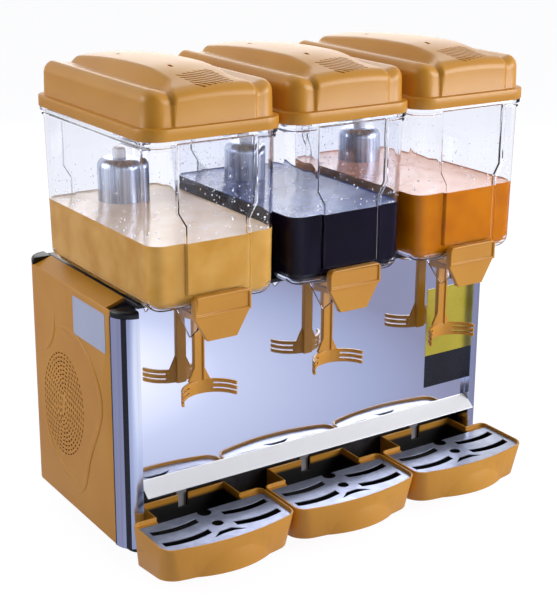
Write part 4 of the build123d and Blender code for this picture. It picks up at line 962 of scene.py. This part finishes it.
def lid_shell():
    """The lid's outer skin about X = 0, from the crown down to the foot of its skirt."""
    form = bmesh.new()
    length = body_rear - body_front
    columns = spread_columns()
    grid = []
    rim_normal = {}
    for along in spread_rows():
        from_end = min(along, length - along)
        reach = body_half
        lean = 0.0
        if from_end < body_corner:
            lean = (body_corner - from_end) / body_corner
            reach = body_half - body_corner + body_corner * sqrt(max(0.0, 1 - lean**2))
        row = []
        for place in columns:
            x = reach * place
            y = body_front + along
            corner_x = abs(x) - (body_half - body_corner)
            corner_y = body_corner - from_end
            if corner_x > 0 and corner_y > 0:
                inside = body_corner - sqrt(corner_x**2 + corner_y**2)
            else:
                inside = min(body_half - abs(x), from_end)
            pushed = y - ridge_proud * nose_share(x) * smooth_step(1 - along / 0.035)
            corner = form.verts.new((x, pushed, lid_height(x, pushed, max(0.0, inside))))
            row.append(corner)
            toward = 1 if along > length / 2 else -1
            if abs(place) == 1:
                side = 1 if place > 0 else -1
                rim_normal[corner] = (x, y, side * sqrt(max(0.0, 1 - lean**2)), toward * lean)
            elif from_end == 0:
                rim_normal[corner] = (x, y, 0.0, toward)
        grid.append(row)
    for low, high in zip(grid, grid[1:]):
        for index in range(len(columns) - 1):
            form.faces.new((low[index], low[index + 1], high[index + 1], high[index]))
    rim = grid[0] + [row[-1] for row in grid[1:-1]] + grid[-1][::-1] + [row[0] for row in grid[-2:0:-1]]
    below = rim
    for out, z in (
        (0.0006, flange_z + 0.0020), (0.0012, flange_z + 0.0005), (0.0030, flange_z),
        (flange_step - 0.0015, flange_z), (flange_step - 0.0004, flange_z - 0.0005),
        (flange_step, flange_z - 0.0016), (flange_step, skirt_foot + 0.0008),
        (flange_step - 0.0006, skirt_foot),
    ):
        ring = []
        for corner in rim:
            x, y, across, along = rim_normal[corner]
            crease = crease_left * (corner.co.y - y) if out < 0.004 else 0.0
            ring.append(form.verts.new((x + across * out, y + crease + along * out, z)))
        for index in range(len(rim)):
            after = (index + 1) % len(rim)
            form.faces.new((below[after], below[index], ring[index], ring[after]))
        below = ring
    bmesh.ops.remove_doubles(form, verts=form.verts, dist=1e-6)
    bmesh.ops.recalc_face_normals(form, faces=form.faces)
    for face in form.faces:
        face.smooth = True
    return mesh_of(form, "lid_shell")


louvre_tree = bpy.data.node_groups.new("louvre_cut", "GeometryNodeTree")
faces = louvre_tree.interface
faces.new_socket("Shell", in_out="INPUT", socket_type="NodeSocketGeometry")
for socket_name, socket_type in (
    ("Slots", "NodeSocketInt"), ("Slot size", "NodeSocketVector"), ("Slot turn", "NodeSocketRotation"),
    ("First place", "NodeSocketVector"), ("Step", "NodeSocketVector"), ("Window size", "NodeSocketVector"),
    ("Window turn", "NodeSocketRotation"), ("Window place", "NodeSocketVector"),
    ("Finish", "NodeSocketMaterial"),
):
    faces.new_socket(socket_name, in_out="INPUT", socket_type=socket_type)
faces.new_socket("Lid", in_out="OUTPUT", socket_type="NodeSocketGeometry")
nodes = louvre_tree.nodes
link = louvre_tree.links.new
given = nodes.new("NodeGroupInput")
line = nodes.new("GeometryNodeMeshLine")
slot_block = nodes.new("GeometryNodeMeshCube")
place_slots = nodes.new("GeometryNodeInstanceOnPoints")
realize = nodes.new("GeometryNodeRealizeInstances")
window_block = nodes.new("GeometryNodeMeshCube")
place_window = nodes.new("GeometryNodeTransform")
within = nodes.new("GeometryNodeMeshBoolean")
within.operation = "INTERSECT"
cut = nodes.new("GeometryNodeMeshBoolean")
cut.operation = "DIFFERENCE"
paint = nodes.new("GeometryNodeSetMaterial")
result = nodes.new("NodeGroupOutput")
link(given.outputs["Slots"], line.inputs["Count"])
link(given.outputs["First place"], line.inputs["Start Location"])
link(given.outputs["Step"], line.inputs["Offset"])
link(given.outputs["Slot size"], slot_block.inputs["Size"])
link(line.outputs["Mesh"], place_slots.inputs["Points"])
link(slot_block.outputs["Mesh"], place_slots.inputs["Instance"])
link(given.outputs["Slot turn"], place_slots.inputs["Rotation"])
link(place_slots.outputs["Instances"], realize.inputs["Geometry"])
link(given.outputs["Window size"], window_block.inputs["Size"])
link(window_block.outputs["Mesh"], place_window.inputs["Geometry"])
link(given.outputs["Window place"], place_window.inputs["Translation"])
link(given.outputs["Window turn"], place_window.inputs["Rotation"])
link(realize.outputs["Geometry"], within.inputs["Mesh 2"])
link(place_window.outputs["Geometry"], within.inputs["Mesh 2"])
link(given.outputs["Shell"], cut.inputs["Mesh 1"])
link(within.outputs["Mesh"], cut.inputs["Mesh 2"])
link(cut.outputs["Mesh"], paint.inputs["Geometry"])
link(given.outputs["Finish"], paint.inputs["Material"])
link(paint.outputs["Geometry"], result.inputs["Lid"])

shell_holder = bpy.data.objects.new("lid_shell", lid_shell())
scene.collection.objects.link(shell_holder)
thicken = shell_holder.modifiers.new("wall", "SOLIDIFY")
thicken.thickness = lid_wall
thicken.offset = -1.0
thick_shell = evaluated_mesh(shell_holder)
bpy.data.objects.remove(shell_holder)
louvre_turn = radians(-36)
louvre_count = 10
louvre_pitch = 0.0059
louvre_step = Vector((-sin(louvre_turn), cos(louvre_turn), 0)) * louvre_pitch
window_setback = 0.0302
window_place = Vector((0.002, nose_edge + window_setback, 0))
window_place.z = ridge_height(window_place.x, window_place.y)
vented_lid = shaped_by(louvre_tree, thick_shell, {
    "Slots": louvre_count,
    "Slot size": (0.080, 0.0027, 0.030),
    "Slot turn": (0, 0, louvre_turn),
    "First place": window_place - louvre_step * (louvre_count - 1) / 2,
    "Step": louvre_step,
    "Window size": (0.050, 0.0425, 0.040),
    "Window turn": (0, 0, radians(10)),
    "Window place": window_place,
    "Finish": tan_plastic,
})
dimple_x = -0.015
dimple_y = 0.065
dimple_front = ridge_height(dimple_x, -dimple_y)
dimple_rear = ridge_height(dimple_x, dimple_y)
vented_lid = shaped_by(louvre_tree, vented_lid, {
    "Slots": 2,
    "Slot size": (0.0045, 0.009, 0.003),
    "Slot turn": (0, 0, 0),
    "First place": (dimple_x, -dimple_y, dimple_front),
    "Step": (0.0, 2 * dimple_y, dimple_rear - dimple_front),
    "Window size": (0.1, 0.3, 0.1),
    "Window place": (dimple_x, 0.0, dimple_front),
    "Finish": tan_plastic,
})
for index, station in enumerate(stations):
    lid_mesh = vented_lid.copy()
    lid_mesh.transform(to_station(index))
    lid_mesh.set_sharp_from_angle(angle=radians(40))
    lid = piece_from(lid_mesh, f"lid_moulding_{station}", tan_plastic)
    set_in_place(lid, f"lid_{station}", "tan_plastic", f"lid_{station}")

# The taps: a moulded cover clipped over each spout, a push lever hung on two stub pins inside it,
# a plunger that seals the spout, and a small return spring under the lever's toe.
spring_steel = finish("spring_steel", tone(150, 154, 160), tone(196, 200, 206), (0.18, 0.3), metal=1.0)
for station in stations:
    for node, name, body, radius in (
        (f"tap_cover_{station}", f"tap_cover_moulding_{station}", f"bowl_{station}", 0.0009),
        (f"tap_lever_{station}", f"tap_lever_moulding_{station}", f"lever_{station}", 0.0006),
    ):
        eased_piece(node, name, radius, tan_plastic, body, "tan_plastic")
    dress(white_moulding, f"tap_plunger_{station}")
    node = f"tap_spring_{station}"
    name = f"return_spring_{station}"
    spring = eased_piece(node, name, 0.0001, spring_steel, f"bowl_{station}", "spring_steel")
    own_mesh(spring)

# The drip trays and grids: a moulded tray that hooks into the recess under the ledge, and a
# pressed stainless grid that drops onto a rebate inside the tray's rim. The tray's inside is painted
# dark as painted shade, fading to tan toward its rim.
grid_steel = finish(
    "grid_steel", tone(146, 152, 174), tone(166, 172, 194), (0.3, 0.38), metal=0.45,
    grain=900, relief=3e-6, drift=60,
)
# Painted shade: the tray's inner faces are near-black below the rim and fade to tan at the rim.
tray_painted_shade = finish("tray_painted_shade", tone(16, 14, 16), tone(26, 23, 24), (0.4, 0.55), grain=900, relief=6e-6)
nodes = tray_painted_shade.node_tree.nodes
link = tray_painted_shade.node_tree.links.new
shader = nodes["Principled BSDF"]
place = nodes.new("ShaderNodeTexCoord")
level = nodes.new("ShaderNodeSeparateXYZ")
link(place.outputs["Object"], level.inputs["Vector"])
near_rim = nodes.new("ShaderNodeMapRange")
near_rim.inputs["From Min"].default_value = 0.0600
near_rim.inputs["From Max"].default_value = 0.0645
link(level.outputs["Z"], near_rim.inputs["Value"])
rim_tone = nodes.new("ShaderNodeMix")
rim_tone.data_type = "RGBA"
link(near_rim.outputs["Result"], rim_tone.inputs[0])
link(shader.inputs["Base Color"].links[0].from_socket, rim_tone.inputs[6])
rim_tone.inputs[7].default_value = tone(207, 144, 45)
link(rim_tone.outputs[2], shader.inputs["Base Color"])
tray_middle_y = -0.120
rim_z = 0.0690
facing_in = 0.01
for station in stations:
    node = f"drip_tray_{station}"
    name = f"drip_tray_moulding_{station}"
    tray = eased_piece(node, name, 0.0009, tan_plastic, f"tray_{station}", "tan_plastic")
    # The inward and upward faces below the rim take the painted shade.
    tray.data.materials.append(tray_painted_shade)
    tray_low, tray_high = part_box(node)
    tray_middle = Vector(((tray_low.x + tray_high.x) / 2, tray_middle_y))
    for polygon in tray.data.polygons:
        inward = (tray_middle - polygon.center.xy).dot(polygon.normal.xy)
        faces_in = polygon.normal.z > facing_up or inward > facing_in
        if polygon.center.z < rim_z and faces_in:
            polygon.material_index = 1
    node = f"drip_grid_{station}"
    name = f"drip_grid_pressing_{station}"
    eased_piece(node, name, 0.0003, grid_steel, f"grid_{station}", "grid_steel")
